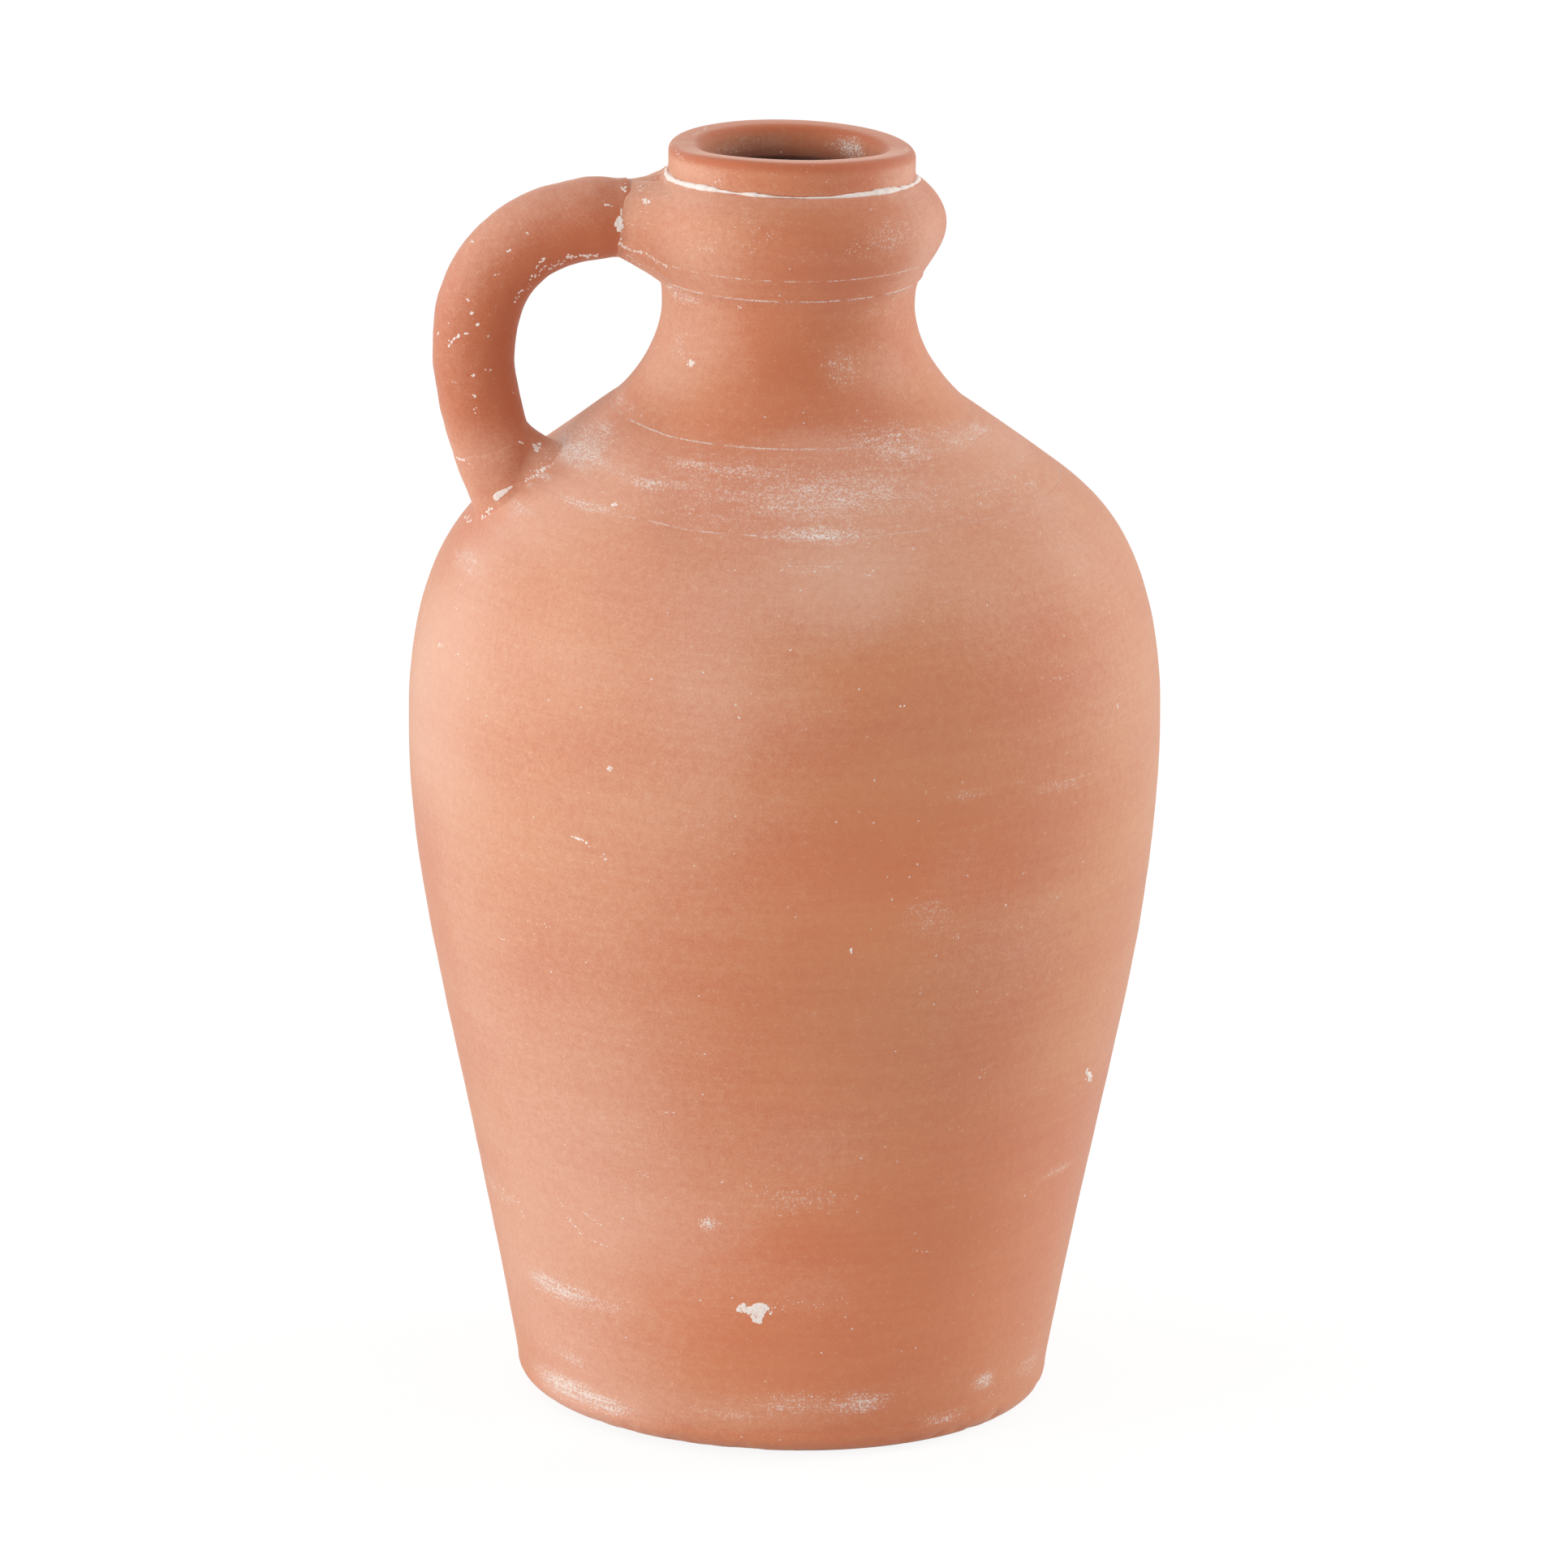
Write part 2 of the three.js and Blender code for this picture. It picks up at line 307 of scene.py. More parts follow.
def settle_tree():
    at, given = new_tree("settle", {})
    place = at.node("GeometryNodeInputPosition")
    x, y, height = split(place)
    belly = hump(height, *BELLY_SPAN) * BELLY_DRIFT
    shoulder = hump(height, *SHOULDER_SPAN) * SHOULDER_DRIFT * ramp(x, *OUTER_SHOULDER)
    neck = hump(height, *NECK_SPAN) * NECK_DRIFT
    up_to_groove = ramp(height, crease, groove)
    dip = x * up_to_groove * ramp(x, *MOUTH_SIDE) * MOUTH_DIP
    raised = up_to_groove * GROOVE_LIFT + ramp(height, groove, lip_top) * RIM_LIFT
    pushed = ramp(x, *UNDER_HANDLE) * hump(height, *LIFTED_SPAN) * SHOULDER_LIFT
    upwards = pushed + raised * ramp(y, 0.0, -lip_radius) - dip
    shift = joined(shoulder - belly - neck - height * LEAN, 0.0, upwards)
    moved = at.node("GeometryNodeSetPosition", {"Geometry": given["Geometry"], "Offset": shift})
    moved.node("NodeGroupOutput", {"Geometry": moved}, None)
    return at.tree


settle = settle_tree()


def finish_settled(geometry, clay):
    """Ends the tree of a piece that settles with the rest of the jug."""
    settled = geometry.node("GeometryNodeGroup", {"Geometry": geometry}, node_tree=settle)
    finish_tree(settled, clay)


fired_clay = bpy.data.materials.new("fired_clay")
white_slip = bpy.data.materials.new("white_slip")
print("settle moves the mouth", round(LEAN * lip_top / MM, 1), "mm")

# %% [markdown]
# ## Thrown walls
#
# Slab, belly, shoulder, neck, collar and lip are all turned on the wheel. A Screw modifier could
# turn an outline too, but it gives a machine's surface. Here a tree does the turning: it takes the
# outline's points, sets one row of a grid on each, and pushes the rows in and out by the finger
# grooves and the wobble that a hand leaves. All the walls use the same noise, so they meet.

# %% The tree that turns an outline
throwing = {
    "Segments": 384,
    "Groove Spacing": 11 * MM,
    "Groove Depth": 0.35 * MM,
    "Wobble": 1.2 * MM,
    "Foot Wear": 0.9 * MM,
    "Foot Lift": 1.3 * MM,
    "Seed": 4.0,
    "Clay": fired_clay,
}


def turned_wall_tree():
    at, given = new_tree("turned_wall", throwing)
    count = at.node("GeometryNodeAttributeDomainSize", {"Geometry": given["Geometry"]})
    square = {"Size X": 1.0, "Size Y": 1.0, "Vertices X": given["Segments"] + 1, "Vertices Y": count + 1}
    grid = at.node("GeometryNodeMeshGrid", square)
    place = at.node("GeometryNodeInputPosition")
    across, along, _ = split(place)
    number = at.maths("MODULO", at.maths("ROUND", (along + 0.5) * count), count)
    look_up = {"Geometry": given["Geometry"], "Value": place, "Index": number}
    point = at.node("GeometryNodeSampleIndex", look_up, data_type="FLOAT_VECTOR")
    radius, _, height = split(point)
    turn = (across + 0.5) * math.tau
    east = at.maths("COSINE", turn)
    north = at.maths("SINE", turn)

    row = height / given["Groove Spacing"]
    grooves = clouds(joined(east * 0.5, north * 0.5, row), 1.0, 1.0, given["Seed"])
    wobble = clouds(joined(east, north, height * 11), 1.0, 1.0, given["Seed"])
    worn = clouds(joined(east, north, height * 20), 9.0, 3.0, given["Seed"])
    pushed = (grooves - 0.5) * given["Groove Depth"] + (wobble - 0.5) * given["Wobble"]
    foot = ramp(height, slab_top, slab_top / 4) * ramp(worn, 0.52, 0.7)
    pushed = (pushed - foot * given["Foot Wear"]) * ramp(radius, 0.0, NECK_RADIUS / 2)
    wider = radius + pushed
    foot_edge = ramp(radius, foot_radius * 0.66, foot_radius * 0.94) * ramp(height, slab_top, 0.0)
    lifted = height + foot_edge * ramp(east, 1.0, -0.9) * given["Foot Lift"]
    wheel_height = {"Geometry": grid, "Name": "wheel_height", "Value": lifted}
    marked = at.node("GeometryNodeStoreNamedAttribute", wheel_height, data_type="FLOAT")
    moved = {"Geometry": marked, "Position": joined(wider * east, wider * north, lifted)}
    turned = at.node("GeometryNodeSetPosition", moved)
    shut = at.node("GeometryNodeMergeByDistance", {"Geometry": turned, "Distance": 1e-6})
    finish_settled(shut, given["Clay"])
    return at.tree


turned_wall = turned_wall_tree()
print(len(turned_wall.nodes), "nodes turn a wall")


# %% Curves of the half section
def point(radius, height):
    return np.array((radius, height))


def unit(ways):
    """Directions made one long."""
    return ways / np.linalg.norm(ways, axis=-1, keepdims=True)


def leaning(degrees):
    """A direction that leans outwards by so many degrees."""
    return point(math.sin(math.radians(degrees)), math.cos(math.radians(degrees)))


def bezier(corners, steps):
    """Points along a cubic curve with four corners, or rows of points along a row of curves."""
    share = np.linspace(0, 1, steps + 1).reshape(-1, *[1] * np.ndim(corners[0]))
    weights = ((1 - share) ** 3, 3 * share * (1 - share) ** 2, 3 * share**2 * (1 - share), share**3)
    return sum(weight * corner for weight, corner in zip(weights, corners))


def swell(start, leaving, end, arriving, pulls, steps):
    """A curve that leaves one point in one direction and reaches another in another."""
    span = np.linalg.norm(end - start)
    return bezier((start, start + leaving * span * pulls[0], end - arriving * span * pulls[1], end), steps)


def bulge(start, end, radius, steps):
    """A curve from one point to another that swells to a radius half way."""
    middle = (start + end) / 2
    peak = point(2 * radius - middle[0], middle[1])
    return bezier((start, (start + 2 * peak) / 3, (end + 2 * peak) / 3, end), steps)


def inside(line, thickness):
    """The same line, moved in by a wall's thickness."""
    along = unit(np.gradient(line, axis=0))
    return line + np.stack((-along[:, 1], along[:, 0]), axis=1) * thickness


def eased(outline, edge_at, sharp=35):
    """A closed outline with each sharp corner rounded off by the edge for its height."""
    rounded = []
    for before, corner, after in zip(np.roll(outline, 1, 0), outline, np.roll(outline, -1, 0)):
        back, on = before - corner, after - corner
        back_length, on_length = np.linalg.norm(back), np.linalg.norm(on)
        bend = math.degrees(math.acos(np.clip(-(back @ on) / (back_length * on_length), -1, 1)))
        if bend < sharp:
            rounded.append(corner)
            continue
        edge = edge_at(corner[1])
        first = corner + back * min(edge / back_length, 0.45)
        last = corner + on * min(edge / on_length, 0.45)
        for s in (0, 0.25, 0.5, 0.75, 1):
            rounded.append((1 - s) ** 2 * first + 2 * s * (1 - s) * corner + s**2 * last)
    return np.array(rounded)


# %% [markdown]
# The half section is drawn as one line from the foot to the collar, with a break at each joint.
# Each wall is then that stretch of line, the same line moved in by the wall's thickness, and a
# small eased edge at its ends. Two eased edges side by side leave the fine groove of a joint.

# %% Outlines of the thrown walls
shoulder_foot = point(SHOULDER_RADIUS, belly_top)
neck_root = point(NECK_ROOT_RADIUS, shoulder_top)
closing = unit(neck_root - shoulder_foot)
widest = point(belly_radius, belly_top - WIDEST_BELOW_SHOULDER)
waist = point(NECK_RADIUS, neck_top - WAIST_BELOW_COLLAR)
collar_seat = point(NECK_RADIUS + NECK_FLARE, crease)
collar_edge = point(lip_radius + COLLAR_LEDGE, groove)
upright = leaning(0)

lower_belly = swell(point(foot_radius, slab_top), leaning(9.6), widest, upright, (0.47, 0.3), 112)
upper_belly = swell(widest, upright, shoulder_foot, closing, (0.62, 0.18), 62)
belly_line = np.vstack((lower_belly, upper_belly[1:]))
shoulder_line = np.linspace(shoulder_foot, neck_root, 28)
throat = swell(neck_root, closing, waist, upright, (0.08, 0.44), 52)
flare = swell(waist, upright, collar_seat, leaning(42.5), (0.4, 0.35), 14)
neck_line = np.vstack((throat, flare[1:]))
collar_belly = collar_seat + point(-0.8 * MM, 2.8 * MM)
collar_brow = collar_edge + point(17.7 * MM, -12.2 * MM)
collar_line = bezier((collar_seat, collar_belly, collar_brow, collar_edge), 48)


def slab_outline():
    """Underside, rounded foot edge and floor. The underside is a little hollow, so it stands on its rim."""
    stand = np.linspace(0, foot_radius - FOOT_ROUND, 36)
    hollow = FOOT_HOLLOW * np.sqrt(np.clip(1 - (stand / stand[-1]) ** 6, 0, 1))
    turn = np.linspace(-math.pi / 2, 0, 20)[1:]
    out = np.cos(turn) ** FOOT_SQUARENESS
    up = 1 - (-np.sin(turn)) ** FOOT_SQUARENESS
    edge = np.stack((out, up), axis=1) * point(FOOT_ROUND, slab_top) + point(foot_radius - FOOT_ROUND, 0)
    floor = np.linspace(point(foot_radius, slab_top), point(0, slab_top), 24)[1:]
    return np.vstack((np.stack((stand, hollow), axis=1), edge, floor))


def lip_outline():
    """A square ring with a rounded outer edge and a softer inner one."""
    outer_round, inner_round = 2.5 * MM, 3.5 * MM
    side = np.linspace(point(lip_radius, groove), point(lip_radius, rim - outer_round), 12)
    turn = np.linspace(0, math.pi / 2, 12)[1:, None]
    over = np.hstack((np.cos(turn), np.sin(turn))) * outer_round
    over = over + point(lip_radius - outer_round, rim - outer_round)
    within = np.hstack((-np.sin(turn), np.cos(turn))) * inner_round
    within = within + point(mouth + inner_round, rim - inner_round)
    bore = np.linspace(within[-1], point(mouth, groove), 14)[1:]
    return np.vstack((side, over, within, bore))


belly_inside = inside(belly_line[::4], WALL)
belly_inside[0] = point(foot_radius - WALL, slab_top)
neck_inside = np.vstack((inside(throat[::2], WALL), point(neck_bore, crease)[None]))
collar_bore = (neck_bore + mouth) / 2 + COLLAR_HOLLOW
collar_inside = bulge(point(neck_bore, crease), point(mouth, groove), collar_bore, 24)
outlines = {
    "base_slab": slab_outline(),
    "belly_wall": np.vstack((belly_line, belly_inside[::-1])),
    "shoulder_ring": np.vstack((shoulder_line, inside(shoulder_line[::3], WALL)[::-1])),
    "neck": np.vstack((neck_line, neck_inside[::-1])),
    "collar": np.vstack((collar_line, collar_inside[::-1])),
    "lip": lip_outline(),
}
print({node: len(line) for node, line in outlines.items()})

# %% Turn the six walls
JOINT_EDGES = {slab_top: 0.05, belly_top: 0.12, shoulder_top: 0.12, crease: 0.4, groove: 0.45}


def joint_edge(height):
    """The eased edge of the joint nearest to a height."""
    return JOINT_EDGES[min(JOINT_EDGES, key=lambda joint: abs(joint - height))] * MM


pieces = {}
for node, line in outlines.items():
    corners = [(radius, 0, height) for radius, height in eased(line, joint_edge)]
    pieces[node] = grow(node + "_clay", turned_wall, corners, [], throwing)

# %% [markdown]
# ## White slip in the groove
#
# Lip and collar meet in a groove, and white slip was left in it. It lies thick at both sides of the
# mouth, where the sponge didn't reach, and thin in front. A plain torus would be too even, so a
# tree sweeps a small round section along the groove and lets its size follow the bearing.

# %% The slip bead
slip = {"Thickness": 0.95 * MM, "Thin Share": 0.28, "Seed": 2.0, "Slip": white_slip}


def slip_bead_tree():
    at, given = new_tree("slip_bead", slip)
    path = at.node("GeometryNodeMeshToCurve", {"Mesh": given["Geometry"]})
    place = at.node("GeometryNodeInputPosition")
    east, _, _ = split(place)
    sideways = at.maths("ABSOLUTE", east) / lip_radius
    lumps = clouds(place, 130.0, 4.0, given["Seed"])
    thickness = ramp(sideways, 0.15, 0.55) * (1 - given["Thin Share"]) + given["Thin Share"]
    thickness = thickness * (ramp(lumps, 0.3, 0.68) * 1.3 + 0.25)
    circle = {"Resolution": 10, "Radius": given["Thickness"]}
    section = at.node("GeometryNodeCurvePrimitiveCircle", circle)
    swept = {"Curve": path, "Profile Curve": section, "Scale": thickness}
    finish_settled(at.node("GeometryNodeCurveToMesh", swept), given["Slip"])
    return at.tree


BEAD_STEPS = 480
BEAD_SINK = 0.25 * MM
bearings = [math.tau * i / BEAD_STEPS for i in range(BEAD_STEPS)]
bead_radius = lip_radius + COLLAR_LEDGE / 2 - BEAD_SINK
groove_line = [(bead_radius * math.cos(b), bead_radius * math.sin(b), groove + BEAD_SINK) for b in bearings]
groove_steps = [(i, (i + 1) % BEAD_STEPS) for i in range(BEAD_STEPS)]
pieces["slip_bead"] = grow("slip_bead_white", slip_bead_tree(), groove_line, groove_steps, slip)

# %% [markdown]
# ## Handle
#
# The handle is a round coil, bent over like an ear. It follows a path, so a tree sweeps a circle
# along two curves that meet at the handle's widest point, closes both ends and presses shallow
# finger dents into it. Each end runs on a little into the clay that holds it.

# %% The handle's path
coil_radius = (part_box("handle")[1].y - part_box("handle")[0].y) / 2
HANDLE_BOW = 4.9 * MM
HANDLE_BEND = 42.5 * MM
HANDLE_SQUARENESS = 0.67
PAD_RISE = 13 * MM
PAD_OUTSET = 5.9 * MM
PAD_LEAN = 17.5
END_LAP = 2.5 * MM

wall_line = np.vstack((belly_line, shoulder_line[1:], neck_line[1:], collar_line[1:]))


def wall_radius(height):
    """The outer wall's radius at a height."""
    return np.interp(height, wall_line[:, 1], wall_line[:, 0])


def wall_height(radius):
    """The outer wall's height where it closes in to a radius above its widest ring."""
    closing_in = wall_line[len(lower_belly) : len(belly_line) + len(shoulder_line)]
    return np.interp(-radius, -closing_in[:, 0], closing_in[:, 1])


stub_seam = point(-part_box("handle")[1].x, collar_top - coil_radius)
pad_radius = SHOULDER_RADIUS + PAD_OUTSET
pad_seam = point(pad_radius, wall_height(pad_radius)) + leaning(PAD_LEAN) * PAD_RISE
bow = point(pad_seam[0] + HANDLE_BOW, stub_seam[1] - HANDLE_BEND)
pull = HANDLE_SQUARENESS * (bow - stub_seam)
over = bezier((stub_seam, stub_seam + point(pull[0], 0), bow - point(0, pull[1]), bow), 70)
side = swell(bow, -upright, pad_seam, -leaning(PAD_LEAN), (0.33, 0.33), 34)
inner_end = stub_seam - point(END_LAP, 0)
lower_end = pad_seam - leaning(PAD_LEAN) * END_LAP
handle_line = np.vstack((inner_end[None], over, side[1:], lower_end[None]))
print(len(handle_line), "points along the handle")

# %% The coil
UPPER_TAPER = 0.07
LOWER_TAPER = 0.07
pressing = {"Dent Depth": 1.6 * MM, "Seed": 7.0, "Clay": fired_clay}
tapers = {"Upper Taper": UPPER_TAPER, "Lower Taper": LOWER_TAPER}
pulling = {"Radius": coil_radius, "Sides": 112, **tapers, **pressing}


def pulled_coil_tree():
    at, given = new_tree("pulled_coil", pulling)
    path = at.node("GeometryNodeMeshToCurve", {"Mesh": given["Geometry"]})
    along = at.node("GeometryNodeSplineParameter", output="Factor")
    thinner = ramp(along, 0.11, 0.02) * given["Upper Taper"] + ramp(along, 0.5, 1.0) * given["Lower Taper"]
    circle = {"Resolution": given["Sides"], "Radius": given["Radius"]}
    section = at.node("GeometryNodeCurvePrimitiveCircle", circle)
    swept = {"Curve": path, "Profile Curve": section, "Scale": 1 - thinner, "Fill Caps": True}
    coil = at.node("GeometryNodeCurveToMesh", swept)
    finish_settled(dented(coil, given), given["Clay"])
    return at.tree


def dented(geometry, given):
    """Geometry with broad finger dents and fine unevenness pressed into it."""
    place = geometry.node("GeometryNodeInputPosition")
    normal = geometry.node("GeometryNodeInputNormal")
    broad = clouds(place, 55.0, 1.0, given["Seed"]) - 0.5
    fine = clouds(place, 240.0, 2.0, given["Seed"]) - 0.5
    depth = (broad + fine * 0.25) * given["Dent Depth"]
    push = place.node("ShaderNodeVectorMath", {0: normal, "Scale": depth}, operation="SCALE")
    return geometry.node("GeometryNodeSetPosition", {"Geometry": geometry, "Offset": push})


pulled_coil = pulled_coil_tree()
path_points = [(-radius, 0, height) for radius, height in handle_line]
path_steps = [(i, i + 1) for i in range(len(path_points) - 1)]
pieces["handle"] = grow("handle_clay_coil", pulled_coil, path_points, path_steps, pulling)

# %% [markdown]
# ## Smeared clay at the handle's ends
#
# The potter presses a lump of clay round each end of the coil and drags it out on to the wall with
# a thumb. Each lump starts as a thin lap round the coil and ends in a feather edge just under the
# wall's surface. Its lines are curves that leave along the coil and arrive along the wall, one for
# each direction round the coil, so a smear can reach far on one side and stop short on another.

# %% Smears
SMEAR_SECTORS = 160
SMEAR_STEPS = 44
SMEAR_SINK = 0.6 * MM
SEAM_RAGGED = 1.2 * MM
LONGEST_RUN = 60 * MM
RUN_STEPS = 1200
THUMB_HALF_TURN = 0.5
THUMB_HALF_LENGTH = 0.28
# The lap's edge round the coil, ring by ring: how far back, its share of the lap, and how far sunk.
LAP_EDGE = ((1.6 * MM, 0, 1.0 * MM), (1.5 * MM, 0, 0), (1.2 * MM, 0.7, 0), (0.6 * MM, 1, 0))


def on_wall(places):
    """Points moved level with the axis until they lie on the outer wall."""
    radius = np.hypot(places[:, 0], places[:, 1])
    scale = wall_radius(places[:, 2]) / radius
    return places * np.stack((scale, scale, np.ones_like(scale)), axis=1)


def wall_normal(places):
    """The way that the outer wall faces at each point."""
    radius = np.hypot(places[:, 0], places[:, 1])
    step = 0.5 * MM
    slope = (wall_radius(places[:, 2] + step) - wall_radius(places[:, 2] - step)) / (2 * step)
    return unit(np.stack((places[:, 0] / radius, places[:, 1] / radius, -slope), axis=1))


def along_wall(ways, normal):
    """Directions turned until they lie in the wall's surface."""
    return unit(ways - (ways * normal).sum(1)[:, None] * normal)


def run_to_wall(places, heading):
    """How far each point has to go along a heading to meet the outer wall."""
    runs = np.linspace(0, LONGEST_RUN, RUN_STEPS)
    ahead = places[:, None] + runs[None, :, None] * heading
    inside_wall = np.hypot(ahead[..., 0], ahead[..., 1]) < wall_radius(ahead[..., 2])
    return runs[inside_wall.argmax(axis=1)]


def pressed_clay_tree():
    at, given = new_tree("pressed_clay", pressing)
    finish_settled(dented(given["Geometry"], given), given["Clay"])
    return at.tree


pressed_clay = pressed_clay_tree()


def closed_lump(name, rings, tips):
    """A lump of clay from rings of points and the two tips that close its ends."""
    last = (len(rings) - 1) * SMEAR_SECTORS
    first_tip = last + SMEAR_SECTORS
    faces = []
    for i in range(SMEAR_SECTORS):
        j = (i + 1) % SMEAR_SECTORS
        for low in range(0, last, SMEAR_SECTORS):
            high = low + SMEAR_SECTORS
            faces.append((low + i, low + j, high + j, high + i))
        faces.append((first_tip, j, i))
        faces.append((first_tip + 1, last + i, last + j))
    return grow(name, pressed_clay, np.vstack((rings.reshape(-1, 3), tips)), [], pressing, faces)


def smear(name, seam, radius, heading, outward, lap, rise, reach, leave, arrive, thumb=(0, 0.5, 0)):
    """A closed lump of clay round a coil's end.

    In each of four directions it laps over the coil, starts higher up by rise and spreads by reach.
    Leave and arrive say how long it keeps to the coil's line and to the wall's line there. Thumb is a
    dent: its turn round the coil, how far along the smear it lies, and its depth.
    """
    turn = np.linspace(0, math.tau, SMEAR_SECTORS, endpoint=False)
    across = np.cross(heading, outward)
    away = np.outer(np.cos(turn), outward) + np.outer(np.sin(turn), across)
    quarter = np.arange(4) * math.pi / 2
    sides = np.clip(np.cos(turn[:, None] - quarter), 0, 1) ** 2
    over, higher, spread, leaving, arriving = (
        sides @ np.array(four) for four in (lap, rise, reach, leave, arrive)
    )
    ragged = np.array([noise.noise(Vector((3 * math.cos(t), 3 * math.sin(t), 0))) for t in turn])
    ring = seam - heading * (higher + ragged * SEAM_RAGGED)[:, None]
    begin = ring + away * (radius + over)[:, None]
    foot = begin + heading * run_to_wall(begin, heading)[:, None]
    slide = along_wall(away, wall_normal(foot))
    end = foot + slide * spread[:, None]
    end[:, 2] = np.minimum(end[:, 2], groove)
    end = on_wall(end)
    normal = wall_normal(end)
    slide = along_wall(slide, normal)
    end -= normal * SMEAR_SINK
    length = np.linalg.norm(end - begin, axis=1)[:, None]
    from_coil = begin + heading * length * leaving[:, None]
    to_wall = end - slide * length * arriving[:, None]
    rings = bezier((begin, from_coil, to_wall, end), SMEAR_STEPS - 1)
    thumb_turn, thumb_share, thumb_depth = thumb
    near = np.exp(-((np.angle(np.exp(1j * (turn - thumb_turn))) / THUMB_HALF_TURN) ** 2))
    along = np.exp(-(((np.linspace(0, 1, SMEAR_STEPS) - thumb_share) / THUMB_HALF_LENGTH) ** 2))
    rings -= (along[:, None] * near[None])[..., None] * away[None] * thumb_depth
    edge = []
    for back, part, sink in LAP_EDGE:
        edge.append(ring - heading * back + away * (radius + over * part - sink)[:, None])
    tips = (seam - heading * END_LAP, seam + heading * WALL)
    return closed_lump(name, np.vstack((edge, rings)), tips)


def handle_side(place):
    """A point or direction of the half section, on the side of the handle."""
    return np.array((-place[0], 0, place[1]))


UP = np.array((0.0, 0.0, 1.0))
inwards = np.array((1.0, 0.0, 0.0))
down_coil = handle_side(-leaning(PAD_LEAN))
off_jug = handle_side(point(math.cos(math.radians(PAD_LEAN)), -math.sin(math.radians(PAD_LEAN))))
pieces["upper_stub"] = smear(
    "upper_stub_smear",
    handle_side(stub_seam),
    coil_radius * (1 - UPPER_TAPER),
    inwards,
    UP,
    lap=(-0.4 * MM, 0.1 * MM, 0.15 * MM, 0.1 * MM),
    rise=(0, 0, 0, 0),
    reach=(-1.2 * MM, 25 * MM, 10 * MM, 25 * MM),
    leave=(0.2, 0.12, 0.05, 0.12),
    arrive=(0.05, 0.45, 0.05, 0.45),
)
pieces["lower_pad"] = smear(
    "lower_pad_smear",
    handle_side(pad_seam),
    coil_radius * (1 - LOWER_TAPER),
    down_coil,
    off_jug,
    lap=(0.15 * MM, 0.1 * MM, -0.3 * MM, 0.1 * MM),
    rise=(0, 0, 6.5 * MM, 0),
    reach=(0.2 * MM, 0.8 * MM, 10.5 * MM, 0.8 * MM),
    leave=(0.5, 0.5, 0.22, 0.5),
    arrive=(0.15, 0.15, 0.22, 0.15),
    thumb=(math.radians(225), 0.5, 1.6 * MM),
)

# %% [markdown]
# ## Marks seen in the photograph
#
# Slip crumbs, chips and chalky patches lie where the photograph shows them. Each is written as a
# pixel of the picture. A ray from the camera through that pixel meets the clay, and the mark is put
# there. The sides that the camera doesn't see get marks of the same kinds at random.

# %% Rays that meet the clay
def search_tree(nodes):
    """One search tree over several pieces."""
    points, faces = [], []
    for node in nodes:
        mesh = pieces[node].data
        start = len(points)
        points += [vertex.co.copy() for vertex in mesh.vertices]
        faces += [[start + corner for corner in face.vertices] for face in mesh.polygons]
    return BVHTree.FromPolygons(points, faces)


all_clay = search_tree([node for node in pieces if node != "slip_bead"])
wall_clay = search_tree(outlines)


def meet(tree, start, heading):
    """Where a ray meets the clay and which way the clay faces there, or nothing."""
    place, facing, _, _ = tree.ray_cast(start, heading)
    if place is None:
        return None
    return place, facing if facing.dot(heading) < 0 else -facing


def under_pixel(pixel, tree=all_clay):
    return meet(tree, camera_place, ray_through(pixel))


middle = under_pixel((PICTURE / 2, PICTURE / 2))[0]
print("the picture's middle shows", [round(n, 3) for n in middle])

# %% [markdown]
# ## Crumbs of slip
#
# White slip dries to crumbs and thin flakes. A flake is a low twelve-sided cone without its tip. A
# tree puts one on each seed point, turns it to the clay by the seed's own directions, gives it the
# seed's size and roughens the lot with noise, so that neighbours grow into one ragged patch.

# %% Seeds of the crumbs
GRAIN_SIZE = 0.17
THICK_SHARE = 0.22
dice = random.Random(11)
seeds = []


def lay(hit, length, width, heading=None):
    """Puts one seed on the clay. Sizes are half sizes in millimetres."""
    place, facing = hit
    if heading is None:
        heading = Vector((dice.gauss(0, 1), dice.gauss(0, 1), dice.gauss(0, 1)))
    along = (heading - facing * heading.dot(facing)).normalized()
    thick = THICK_SHARE * min(length, width)
    seeds.append((place, facing, along, Vector((length, width, thick)) * MM))


def dab(x, y, wide, high, count, size):
    """A loose heap of crumbs over a patch of pixels."""
    for _ in range(count):
        turn, away = dice.uniform(0, math.tau), math.sqrt(dice.random())
        pixel = (x + wide * away * math.cos(turn), y + high * away * math.sin(turn))
        hit = under_pixel(pixel)
        if hit:
            length = size * dice.uniform(0.5, 1.2)
            lay(hit, length, length * dice.uniform(0.5, 1))


def trail(corners, count, size, spread):
    """Crumbs along a line of pixels, as in a scratch or a crack."""
    corners = np.array(corners, dtype=float)
    runs = np.concatenate(([0], np.cumsum(np.linalg.norm(np.diff(corners, axis=0), axis=1))))
    for _ in range(count):
        run = dice.uniform(0, runs[-1])
        pixel = np.array([np.interp(run, runs, corners[:, axis]) for axis in (0, 1)])
        ahead = under_pixel([np.interp(run + 2, runs, corners[:, axis]) for axis in (0, 1)])
        hit = under_pixel(pixel + (dice.gauss(0, spread), dice.gauss(0, spread)))
        if hit and ahead:
            length = size * dice.uniform(0.5, 1.4)
            lay(hit, length, length * dice.uniform(0.4, 0.8), ahead[0] - hit[0])


def flake(pixel, towards, length, width):
    """One larger flake that points towards another pixel."""
    hit, ahead = under_pixel(pixel), under_pixel(towards)
    lay(hit, length, width, ahead[0] - hit[0])


def scatter(marks):
    """Lays marks in turn. A row that starts with a list of pixels is a trail, any other row a dab."""
    for mark in marks:
        if isinstance(mark[0], list):
            trail(*mark)
        else:
            dab(*mark)


